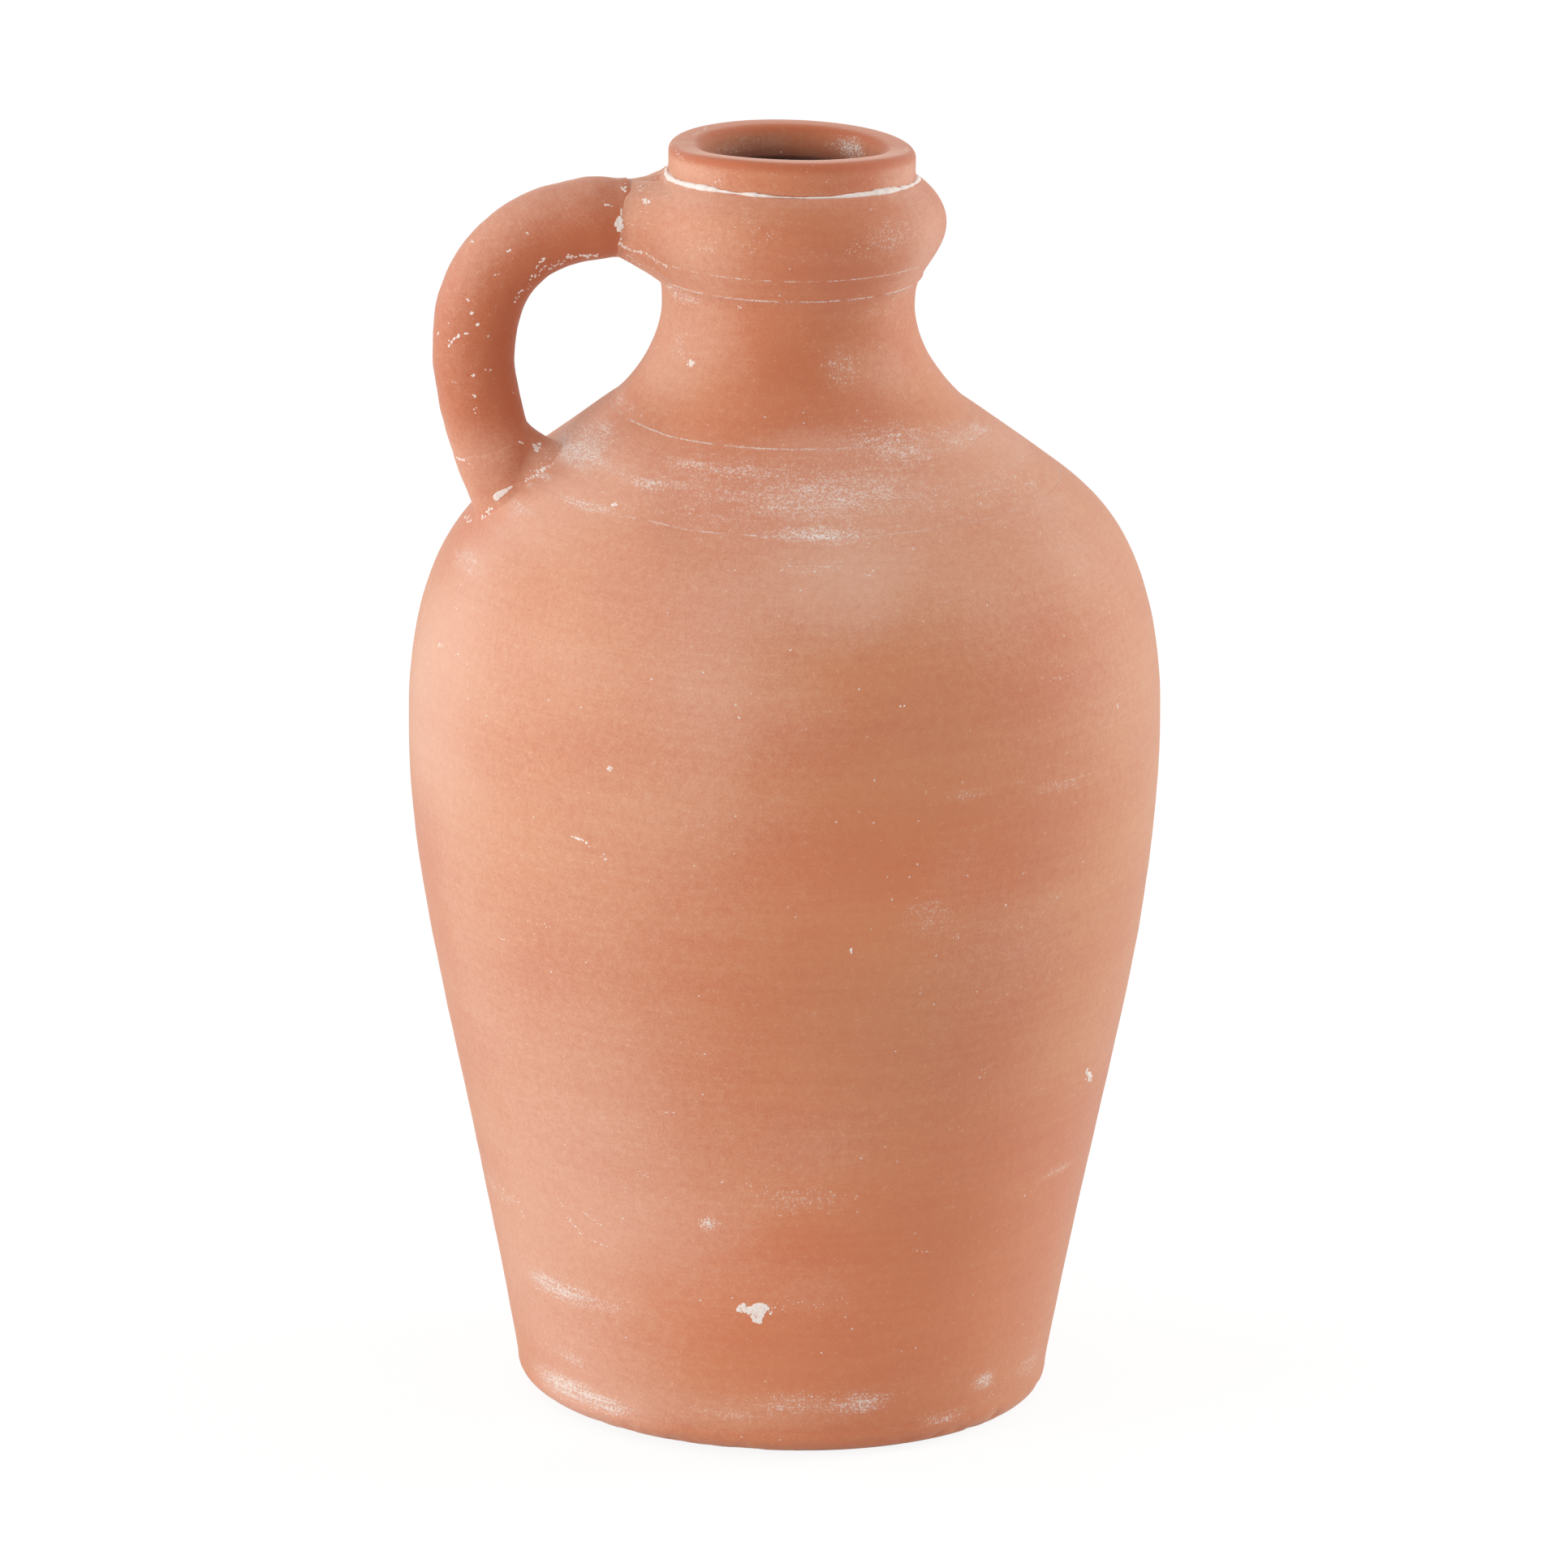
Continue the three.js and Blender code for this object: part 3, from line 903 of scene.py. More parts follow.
# %% Chips, scratches and grains, in pixels
# A dab is x, y, half width, half height, count and size. A trail is its pixels, count, size and spread.
WIDE_SPECKS = [
    (564, 806), (562, 749), (658, 1007), (911, 884), (803, 837), (744, 606), (850, 632), (711, 656),
]
TALL_SPECKS = [
    (975, 802), (1282, 657), (1324, 709), (1125, 676), (1240, 1116), (1302, 1105), (1100, 1108), (1194, 900),
]
BELLY_MARKS = [
    (917, 1612, 9, 5, 28, 0.8), (936, 1613, 10, 6, 44, 0.9), (926, 1616, 8, 4, 24, 0.8),
    (933, 1624, 7, 7, 30, 0.8), (949, 1618, 3, 4, 5, 0.4), (960, 1612, 10, 6, 6, 0.25),
    (752, 947, 2.5, 3, 7, 0.5),
    ([(703, 1030), (712, 1033), (725, 1039)], 16, 0.4, 0.6),
    ([(744, 1047), (747, 1061)], 5, 0.35, 1.0),
    (1049, 1172, 1.5, 4, 6, 0.4), (1341, 1325, 5, 8, 26, 0.8), (1112, 870, 4, 1.2, 6, 0.35),
    (1377, 870, 1.5, 3, 5, 0.4), (543, 795, 3.5, 2.5, 7, 0.4), (757, 620, 4, 3.5, 9, 0.6),
    (851, 447, 5.5, 4, 12, 0.6), (911, 379, 2.5, 2.5, 7, 0.3), (870, 1508, 9, 7, 20, 0.28),
    ([(810, 1370), (830, 1371)], 8, 0.25, 0.5),
    ([(690, 1477), (697, 1496), (714, 1518), (736, 1531), (756, 1538)], 34, 0.28, 0.9),
    ([(718, 1494), (730, 1502), (746, 1512)], 14, 0.25, 0.6),
    ([(622, 1466), (638, 1478), (646, 1502)], 10, 0.25, 1.0),
    ([(615, 1156), (622, 1158)], 4, 0.35, 0.6),
    ([(907, 1466), (980, 1470), (1062, 1474)], 22, 0.22, 3.0),
    ([(955, 1495), (1062, 1492)], 14, 0.2, 2.0),
    ([(964, 1604), (1010, 1608), (1050, 1606)], 16, 0.2, 2.5),
    ([(1128, 1542), (1150, 1543)], 6, 0.25, 0.6),
    ([(1313, 777), (1350, 762), (1392, 747)], 16, 0.18, 0.6),
    ([(1287, 841), (1310, 834), (1333, 824)], 14, 0.2, 1.2),
    ([(1064, 706), (1070, 710), (1076, 702)], 8, 0.25, 0.5),
    ([(897, 703), (908, 702)], 5, 0.3, 0.4),
    ([(960, 702), (990, 704), (1022, 704)], 12, 0.2, 0.5),
    ([(630, 1128), (662, 1138), (700, 1150)], 10, 0.2, 1.0),
    *[(x, y, 2, 1.5, 3, 0.25) for x, y in WIDE_SPECKS],
    *[(x, y, 1.5, 2, 3, 0.25) for x, y in TALL_SPECKS],
]
# Chalk that broke up into grains: x, y, half width, half height and count.
GRAINS = [
    (1219, 1704, 9, 5, 22), (1218, 1692, 6, 6, 10), (1220, 1718, 8, 5, 12), (1252, 1680, 14, 6, 10),
    (1035, 1728, 52, 14, 90), (960, 1728, 50, 13, 36), (1165, 1745, 30, 10, 24), (900, 1740, 60, 12, 20),
    (690, 1707, 26, 12, 46), (722, 1728, 26, 11, 46), (757, 1740, 12, 7, 18), (688, 1590, 32, 10, 40),
    (742, 1608, 44, 6, 22), (700, 1645, 40, 22, 20), (985, 1478, 80, 16, 46), (791, 1448, 9, 6, 14),
    (771, 1466, 6, 4, 6), (694, 1300, 3, 3, 5), (588, 1260, 8, 6, 7), (636, 1286, 16, 6, 8),
    (672, 1199, 10, 5, 6), (1184, 1391, 14, 4, 8), (1213, 1320, 6, 4, 4), (1179, 1153, 6, 5, 6),
    (1040, 600, 110, 40, 60), (1060, 664, 90, 12, 46), (873, 303, 12, 10, 16), (941, 290, 16, 12, 18),
    (920, 307, 14, 8, 12), (855, 308, 16, 4, 9), (1050, 306, 22, 9, 20), (1080, 300, 14, 10, 8),
    (1140, 285, 18, 20, 12), (810, 235, 22, 12, 16), (690, 545, 8, 10, 40),
]
scatter(BELLY_MARKS)
scatter((*grain, GRAIN_SIZE) for grain in GRAINS)
print(len(seeds), "crumbs of chips, scratches and grains")

# %% Marks of the lip and the handle, in pixels
LIP_MARKS = [
    ([(854, 167), (862, 162), (873, 157)], 16, 0.28, 0.8),
    ([(832, 186), (838, 192), (847, 197)], 12, 0.25, 1.4),
    (884, 226, 7, 5, 10, 0.24), (1117, 184, 3, 2, 6, 0.3), (900, 210, 60, 12, 16, 0.16),
    (1000, 222, 80, 14, 18, 0.15),
]
STUB_MARKS = [
    (763, 276, 4, 8, 22, 0.75),
    ([(765, 258), (766, 300)], 14, 0.4, 0.8),
    ([(761, 299), (768, 304), (780, 309), (796, 312), (809, 322), (822, 328)], 70, 0.32, 0.8),
    ([(812, 347), (824, 353), (840, 360)], 22, 0.4, 1.2),
    ([(745, 252), (757, 255), (766, 259)], 9, 0.35, 0.6),
    (770, 231, 4, 5, 9, 0.5),
    ([(821, 208), (823, 214), (828, 221), (838, 226), (850, 231)], 44, 0.38, 1.6),
    (795, 249, 6, 4, 12, 0.5), (832, 367, 3, 7, 8, 0.35), (790, 265, 16, 20, 10, 0.22),
    ([(783, 238), (800, 228), (817, 217)], 20, 0.22, 1.0),
    ([(786, 230), (800, 222), (813, 214)], 22, 0.22, 1.0),
    ([(772, 313), (787, 326), (806, 338)], 54, 0.22, 2.6),
    ([(802, 216), (812, 213), (820, 209)], 22, 0.25, 1.6),
]
COIL_CRUMBS = [
    (627, 309), (581, 298), (577, 370), (581, 385), (589, 400), (583, 463), (584, 488), (540, 411),
]
COIL_SPECKS = [
    (632, 485), (550, 451), (601, 455), (586, 505), (560, 470), (612, 340), (650, 290), (640, 275),
]
COIL_MARKS = [
    ([(697, 317), (710, 315), (725, 316), (739, 313)], 34, 0.55, 1.2),
    ([(635, 375), (640, 362), (653, 347), (667, 332), (690, 320)], 34, 0.35, 2.4),
    ([(660, 330), (666, 324), (672, 318)], 12, 0.4, 1.0),
    ([(676, 333), (690, 324), (704, 318)], 16, 0.4, 1.4),
    ([(576, 411), (566, 414), (557, 420), (553, 427)], 18, 0.45, 0.8),
    *[(x, y, 2, 2, 4, 0.4) for x, y in COIL_CRUMBS],
    *[(x, y, 4, 4, 4, 0.25) for x, y in COIL_SPECKS],
    ([(563, 564), (572, 568), (582, 574)], 12, 0.4, 0.6),
]
# A leaf of slip on the lower pad: x, y, half length and half width in millimetres of each flake.
LEAF = [(612, 613, 1.3, 1.2), (616, 609, 1.9, 1.2), (621, 606, 1.9, 0.9), (627, 602, 1.5, 0.5)]
PAD_MARKS = [
    ([(606, 626), (600, 634), (592, 640)], 16, 0.5, 1.6),
    (578, 639, 6, 4, 10, 0.5),
    ([(636, 543), (646, 547)], 8, 0.4, 0.6),
    (662, 551, 5, 6, 14, 0.6),
    ([(648, 592), (662, 584), (682, 571)], 34, 0.45, 1.4),
    ([(697, 538), (688, 555), (672, 572), (655, 590)], 60, 0.22, 4.0),
]
scatter(LIP_MARKS + STUB_MARKS + COIL_MARKS)
for x, y, length, width in LEAF:
    flake((x, y), (x + 5, y - 3), length, width)
scatter(PAD_MARKS)
print(len(seeds), "crumbs where the photograph shows them")

# %% Seeds at random, and the tree that grows them
LOOSE_SPECKS = 300
HIDDEN_DABS = 16
WELL_OUTSIDE = 0.3


def somewhere(bearing, height):
    """The wall at a bearing and a height, met from outside."""
    outwards = Vector((math.sin(bearing), -math.cos(bearing), 0))
    return meet(wall_clay, outwards * WELL_OUTSIDE + Vector((0, 0, height)), -outwards)


for _ in range(LOOSE_SPECKS):
    length = 0.09 + 0.2 * dice.random() ** 4
    lay(somewhere(dice.uniform(-math.pi, math.pi), dice.uniform(0.004, collar_top)), length, length * 0.7)
for _ in range(HIDDEN_DABS):
    bearing, height = dice.uniform(math.pi / 2, 1.4 * math.pi), dice.uniform(0.02, 0.3)
    for _ in range(dice.randint(3, 14)):
        near = somewhere(bearing + dice.gauss(0, 0.009), height + dice.gauss(0, 0.8 * MM))
        length = dice.uniform(0.3, 0.8)
        lay(near, length, length * dice.uniform(0.5, 1))


crumbling = {"Roughen": 0.2 * MM, "Seed": 3.0, "Slip": white_slip}


def crumbs_tree():
    at, given = new_tree("slip_crumbs", crumbling)

    def of_seed(label):
        name = {"Name": label}
        return at.node("GeometryNodeInputNamedAttribute", name, "Attribute", data_type="FLOAT_VECTOR")

    sides = {"Vertices": 12, "Radius Top": 0.75, "Radius Bottom": 1.1, "Depth": 2.0}
    cone = at.node("GeometryNodeMeshCone", sides, "Mesh")
    crumb = at.node("GeometryNodeTransform", {"Geometry": cone, "Translation": (0, 0, -1)})
    axes = {"Primary Axis": of_seed("facing"), "Secondary Axis": of_seed("along")}
    turned = at.node("FunctionNodeAxesToRotation", axes, primary_axis="Z", secondary_axis="X")
    laid = {"Points": given["Geometry"], "Instance": crumb, "Rotation": turned, "Scale": of_seed("size")}
    crumbs = at.node("GeometryNodeInstanceOnPoints", laid)
    real = at.node("GeometryNodeRealizeInstances", {"Geometry": crumbs})
    place = at.node("GeometryNodeInputPosition")
    ways = split(clouds(place, 1200.0, 1.0, given["Seed"], "Color"))
    ragged = joined(*[(way - 0.5) * given["Roughen"] for way in ways])
    roughened = at.node("GeometryNodeSetPosition", {"Geometry": real, "Offset": ragged})
    finish_tree(roughened, given["Slip"], smooth=False)
    return at.tree


traits = {"facing": [s[1] for s in seeds], "along": [s[2] for s in seeds], "size": [s[3] for s in seeds]}
crumbs = grow("slip_crumbs", crumbs_tree(), [s[0] for s in seeds], [], crumbling, traits=traits)

# %% [markdown]
# ## Fired clay
#
# Unglazed clay is matt and never one colour. Over the red clay lie a tan skin, the fine lines of the
# throwing, pale hazes of lime that also carry painted highlights, chalky washes that break up into
# specks, and lines of slip in the joints. The hollow gets painted shade, and the rim's top is worn and
# partly painted darker as shade. All of it is worked out from a point's place, its bearing round the jug
# and its height, so it needs no picture and no unwrapping. Under the jug the distance from the axis
# takes the height's place. Painting a texture would be the other way, but that fixes one resolution.

# %% Colours and how they mix
DEEP = (0.49, 0.12, 0.045, 1)
CLAY = (0.565, 0.174, 0.086, 1)
TAN = (0.635, 0.266, 0.129, 1)
WARM = (0.74, 0.2, 0.072, 1)
BLOOM = (0.77, 0.465, 0.35, 1)
CHALK = (0.87, 0.8, 0.75, 1)
HOLLOW_SHADE = (0.16, 0.056, 0.04, 1)


def shader_tree(owner):
    """The emptied node tree of a material or a world."""
    owner.use_nodes = True
    owner.node_tree.nodes.clear()
    return Sock(owner.node_tree)


def blend(share, under, over):
    """A colour between two. Share says how much of the upper one shows."""
    values = {"Factor": share, "A": under, "B": over}
    return share.node("ShaderNodeMix", values, "Result", data_type="RGBA")


def of_mesh(at, label):
    """The three numbers that a mesh keeps for each of its points."""
    return split(at.node("ShaderNodeAttribute", output="Vector", attribute_name=label))


def cover(owner, finish):
    """Ends a material: one surface with these values."""
    skin = owner.node("ShaderNodeBsdfPrincipled", finish)
    skin.node("ShaderNodeOutputMaterial", {"Surface": skin}, None)


# %% [markdown]
# Chalky washes, pale hazes (blooms, partly painted highlight), redder places (deeps, partly painted
# shade) and more orange ones (warms) are soft spots. There are too many for a shader, so each mesh
# keeps at its points how much of them lies there, and the shader breaks that up into streaks and specks.

# %% Soft spots: x, y, half width, half height in pixels, and strength
WASHES = [
    (960, 610, 360, 90, 0.3), (1250, 600, 140, 70, 0.25), (1030, 612, 140, 46, 0.4),
    (1020, 661, 105, 16, 0.95), (1120, 562, 70, 26, 0.5), (1010, 700, 70, 10, 0.45),
    (1200, 530, 60, 26, 0.55), (1090, 540, 90, 34, 0.5), (712, 552, 90, 54, 0.95), (692, 550, 36, 32, 0.95),
    (740, 530, 60, 40, 0.6), (652, 594, 18, 10, 0.7), (668, 584, 20, 12, 0.8), (640, 625, 46, 22, 0.6),
    (765, 492, 40, 34, 0.5), (800, 594, 75, 12, 0.75), (716, 621, 52, 13, 0.7), (880, 575, 110, 6, 0.5),
    (1045, 452, 40, 44, 0.36), (836, 430, 24, 34, 0.35), (838, 366, 26, 12, 0.6), (1070, 385, 60, 14, 0.2),
    (1048, 182, 32, 20, 1.0), (900, 184, 44, 16, 0.4), (850, 173, 28, 12, 0.3), (1160, 540, 80, 34, 0.3),
    (826, 217, 16, 9, 0.9), (1000, 318, 130, 14, 0.15), (930, 270, 60, 20, 0.15), (1100, 290, 50, 36, 0.35),
    (1310, 966, 60, 12, 0.45), (1185, 980, 40, 12, 0.4), (1302, 1441, 24, 8, 0.7),
    (1150, 1130, 60, 40, 0.3), (685, 1700, 44, 16, 0.9), (704, 1713, 66, 20, 0.95),
    (728, 1722, 50, 16, 0.95), (757, 1736, 28, 12, 0.8), (688, 1588, 60, 18, 0.95), (745, 1610, 50, 8, 0.5),
    (700, 1672, 40, 14, 0.6), (1050, 1729, 62, 20, 0.85), (970, 1730, 60, 20, 0.5),
    (1220, 1698, 18, 15, 0.95), (1165, 1747, 36, 10, 0.6), (900, 1742, 60, 10, 0.4),
    (1268, 1680, 22, 20, 0.5), (575, 690, 50, 30, 0.5), (620, 1470, 30, 14, 0.5), (985, 1480, 90, 22, 0.35),
    (870, 1508, 18, 13, 0.95),
]
# Blooms are partly lime haze and partly painted highlight, on the side where the main light falls and along
# the pale edges.
BLOOMS_AND_HIGHLIGHTS = [
    (690, 1000, 360, 640, 0.42), (690, 800, 280, 230, 0.3), (960, 640, 520, 190, 0.35),
    (730, 560, 200, 130, 0.6), (640, 640, 130, 100, 0.65), (530, 850, 100, 290, 0.85),
    (575, 1150, 70, 300, 0.4), (730, 1480, 240, 340, 0.6), (720, 1660, 150, 130, 0.4),
    (880, 1740, 280, 50, 0.45), (850, 310, 130, 150, 0.6), (850, 246, 80, 34, 0.5), (845, 208, 60, 40, 0.6),
    (1130, 320, 60, 210, 0.45), (1150, 290, 40, 80, 0.5), (840, 420, 100, 120, 0.65),
    (872, 850, 110, 180, 0.45), (960, 860, 130, 130, 0.35), (960, 740, 230, 100, 0.45),
    (1090, 620, 250, 150, 0.5), (1060, 715, 160, 90, 0.5), (1250, 560, 140, 90, 0.5),
    (1320, 680, 130, 160, 0.45), (1330, 840, 150, 240, 0.25), (1250, 1160, 180, 150, 0.3),
    (1000, 1420, 170, 100, 0.35), (880, 1520, 130, 120, 0.3), (695, 548, 110, 70, 0.8),
    (580, 740, 70, 160, 0.45), (820, 470, 60, 60, 0.4), (1090, 460, 60, 60, 0.4),
    (650, 1520, 110, 280, 0.4), (740, 1732, 100, 46, 0.7), (1210, 750, 130, 120, 0.4),
    (1120, 215, 36, 36, 0.6), (1180, 535, 90, 50, 0.5), (1000, 545, 90, 34, 0.4),
    (700, 1400, 200, 400, 0.3), (1060, 770, 120, 70, 0.35), (1220, 540, 110, 50, 0.4),
    (1300, 620, 80, 60, 0.3), (690, 1712, 70, 36, 0.9), (690, 1665, 80, 70, 0.35), (640, 1590, 50, 80, 0.3),
    (770, 1515, 90, 70, 0.35), (585, 690, 60, 70, 0.5), (710, 610, 120, 60, 0.4), (1010, 620, 120, 50, 0.3),
    (1050, 695, 130, 50, 0.35), (1000, 1590, 120, 70, 0.3), (990, 248, 170, 24, 0.4),
    (1180, 1065, 70, 60, 0.25), (850, 990, 160, 160, 0.2), (1405, 850, 80, 330, 0.3),
]
# Deeps are partly the clay's own redder tone; the one on the rim's top at the right is painted shade.
DEEPS = [
    (985, 450, 150, 100, 0.7), (1020, 525, 170, 40, 0.5), (1010, 300, 140, 90, 0.5),
    (1040, 1040, 280, 150, 0.25), (940, 1230, 280, 150, 0.3), (741, 1744, 14, 7, 1.0),
    (1100, 186, 44, 16, 0.4), (1190, 1520, 130, 130, 0.25),
]
WARMS = [
    (1120, 1590, 360, 330, 0.38), (1130, 1080, 230, 170, 0.35), (820, 1560, 200, 200, 0.2),
]

# %% From pixels to the wall
SPOT_LEAST = 1.5 * MM
PIXEL_STEP = 6
# Bearings of the hidden side, in half turns.
BACK = (0.72, 1.28)


def bearing_height(pixel):
    """A pixel's place on the wall: bearing from the front, and height."""
    place, _ = under_pixel(pixel, wall_clay)
    return np.array((math.atan2(place.x, -place.y), place.z))


def on_jug(mark):
    """A spot seen at a pixel: its middle and half sizes as bearing and height, and its strength."""
    x, y, half_wide, half_high, strength = mark
    middle = bearing_height((x, y))
    step = PIXEL_STEP if x < PICTURE / 2 else -PIXEL_STEP
    wide = abs(bearing_height((x + step, y))[0] - middle[0]) / PIXEL_STEP * half_wide
    high = abs(bearing_height((x, y - PIXEL_STEP))[1] - middle[1]) / PIXEL_STEP * half_high
    return middle, np.array((wide, max(high, SPOT_LEAST))), strength


def behind(count, wide, high, strength):
    """Spots at random on the side that the photograph doesn't show."""
    for _ in range(count):
        middle = np.array((chance.uniform(*BACK) * math.pi, chance.uniform(0, collar_top)))
        size = np.array((wide * chance.uniform(0.3, 1), high * chance.uniform(0.3, 1)))
        yield middle, size, strength * chance.uniform(0.3, 1)


def soft_spots(places, spots):
    """How much of each place on the wall is covered by soft spots."""
    bare = np.ones(len(places))
    for middle, size, strength in spots:
        apart = places - middle
        apart[:, 0] = (apart[:, 0] + math.pi) % math.tau - math.pi
        near = np.clip(1 - np.linalg.norm(apart / size, axis=1), 0, 1)
        bare *= 1 - near**2 * (3 - 2 * near) * strength
    return 1 - bare


chance = random.Random(4)
washes = [*map(on_jug, WASHES), *behind(14, 0.6, 14 * MM, 0.7)]
blooms_and_highlights = [*map(on_jug, BLOOMS_AND_HIGHLIGHTS), *behind(30, 0.7, 130 * MM, 0.6)]
deeps = [*map(on_jug, DEEPS), *behind(5, 0.6, 45 * MM, 0.4)]
warms = [*map(on_jug, WARMS), *behind(2, 0.7, 80 * MM, 0.4)]
print(len(washes), "washes,", len(blooms_and_highlights), "hazes,", len(deeps) + len(warms), "redder places")

# %% [markdown]
# Slip in a joint is strong in some places and gone in others, so a few pixels along each joint say how
# much of it is left. The coil's pieces are redder than the walls. Their side that faces the main light
# is paler, which is painted highlight, and the stub is paler all over, partly as painted light.

# %% What each point of the clay keeps
# Noise shakes the edges of the spots. Without a seed of its own it would differ from run to run.
noise.seed_set(4)
SHAKE = Vector((6, 6, 1)) * MM
GATES = (
    ((752, 503, 0.7), (800, 528, 1), (930, 549, 0.9), (1010, 553, 0.6), (1120, 544, 0.25), (1180, 530, 0)),
    ((700, 630, 0), (765, 643, 0.8), (850, 654, 0.6), (930, 660, 1), (1100, 663, 0.9), (1170, 660, 0.1)),
    ((770, 558, 0), (800, 563, 0.8), (870, 570, 1), (960, 577, 0.5), (1010, 580, 0), (1100, 580, 0)),
)


def gate(bearings, line):
    """How strong a joint's slip is at each bearing, from pixels along the joint. Behind it is even."""
    known = [(bearing_height((x, y))[0], strength) for x, y, strength in line]
    known = [(-math.pi, 0.4), (-1.6, 0.4), *known, (1.6, 0.4), (math.pi, 0.4)]
    return np.interp(bearings, *zip(*known))


# How red the coil's pieces are, how pale all over (on the stub partly painted light), and how much
# paler the side that faces the main light is, which is painted highlight.
PULLED = {"handle": (1.0, 0.0, 0.6), "lower_pad": (1.0, 0.05, 0.55), "upper_stub": (0.3, 0.6, 0.3)}
MAIN_LIGHT_SIDE = np.array((-0.55, -0.5, 0.67))
# At the pad the coil is less red and dustier, and that fades out over this height.
PAD_RED = 0.4
PAD_DUST = 0.35
PAD_FADE = 16 * MM
# How far off the wall a coil is all pulled clay, and how far washes reach up it.
PULLED_FADE = 14 * MM
WASH_FADE = 5 * MM
# How deep inside the wall the painted shade of the hollow begins, and over what depth it and the sole fade.
WITHIN = 5 * MM
WITHIN_FADE = 3 * MM
SOLE_FADE = 10 * MM

for node, piece in pieces.items():
    mesh = piece.data
    shaken = [vertex.co + noise.noise_vector(vertex.co * 55) * SHAKE for vertex in mesh.vertices]
    shaken = np.array([(math.atan2(p.x, -p.y), p.z) for p in shaken])
    off_wall = np.array([math.hypot(*vertex.co.xy) - wall_radius(vertex.co.z) for vertex in mesh.vertices])
    above_floor = np.array([vertex.co.z for vertex in mesh.vertices])
    sole = np.clip(2 - above_floor / MM, 0, 1) * np.clip(-off_wall / SOLE_FADE - 0.5, 0, 1)
    marks = (washes, blooms_and_highlights, deeps, warms)
    wash, bloom_and_highlight, deep, warm = (soft_spots(shaken, spots) * (1 - sole) for spots in marks)
    pulled = np.zeros(len(shaken))
    if node in PULLED:
        red, paler_all_over, lit_side_highlight = PULLED[node]
        far = np.clip(off_wall / PULLED_FADE, 0, 1)
        above_pad = np.clip((shaken[:, 1] - pad_seam[1]) / PAD_FADE, 0, 1)
        pulled = red * far * (PAD_RED + (1 - PAD_RED) * above_pad)
        # Painted highlight on the side of the coil that faces the main light.
        facing = np.array([normal.vector for normal in mesh.vertex_normals]) @ MAIN_LIGHT_SIDE
        paleness_and_highlight = paler_all_over + (1 - above_pad) * PAD_DUST + lit_side_highlight * np.clip(facing, 0, 1) ** 2
        bloom_and_highlight = bloom_and_highlight * (1 - far) + far * paleness_and_highlight
        wash = wash * np.clip(1 - off_wall / WASH_FADE, 0, 1)
    within = np.clip((-off_wall - WITHIN) / WITHIN_FADE, 0, 1)
    keep(mesh, "spots", np.stack((wash, bloom_and_highlight, deep), axis=1))
    keep(mesh, "kinds", np.stack((pulled, within, warm), axis=1))
    keep(mesh, "gates", np.stack([gate(shaken[:, 0], line) for line in GATES], axis=1))
print("spots, kinds and gates kept on", len(pieces), "pieces")


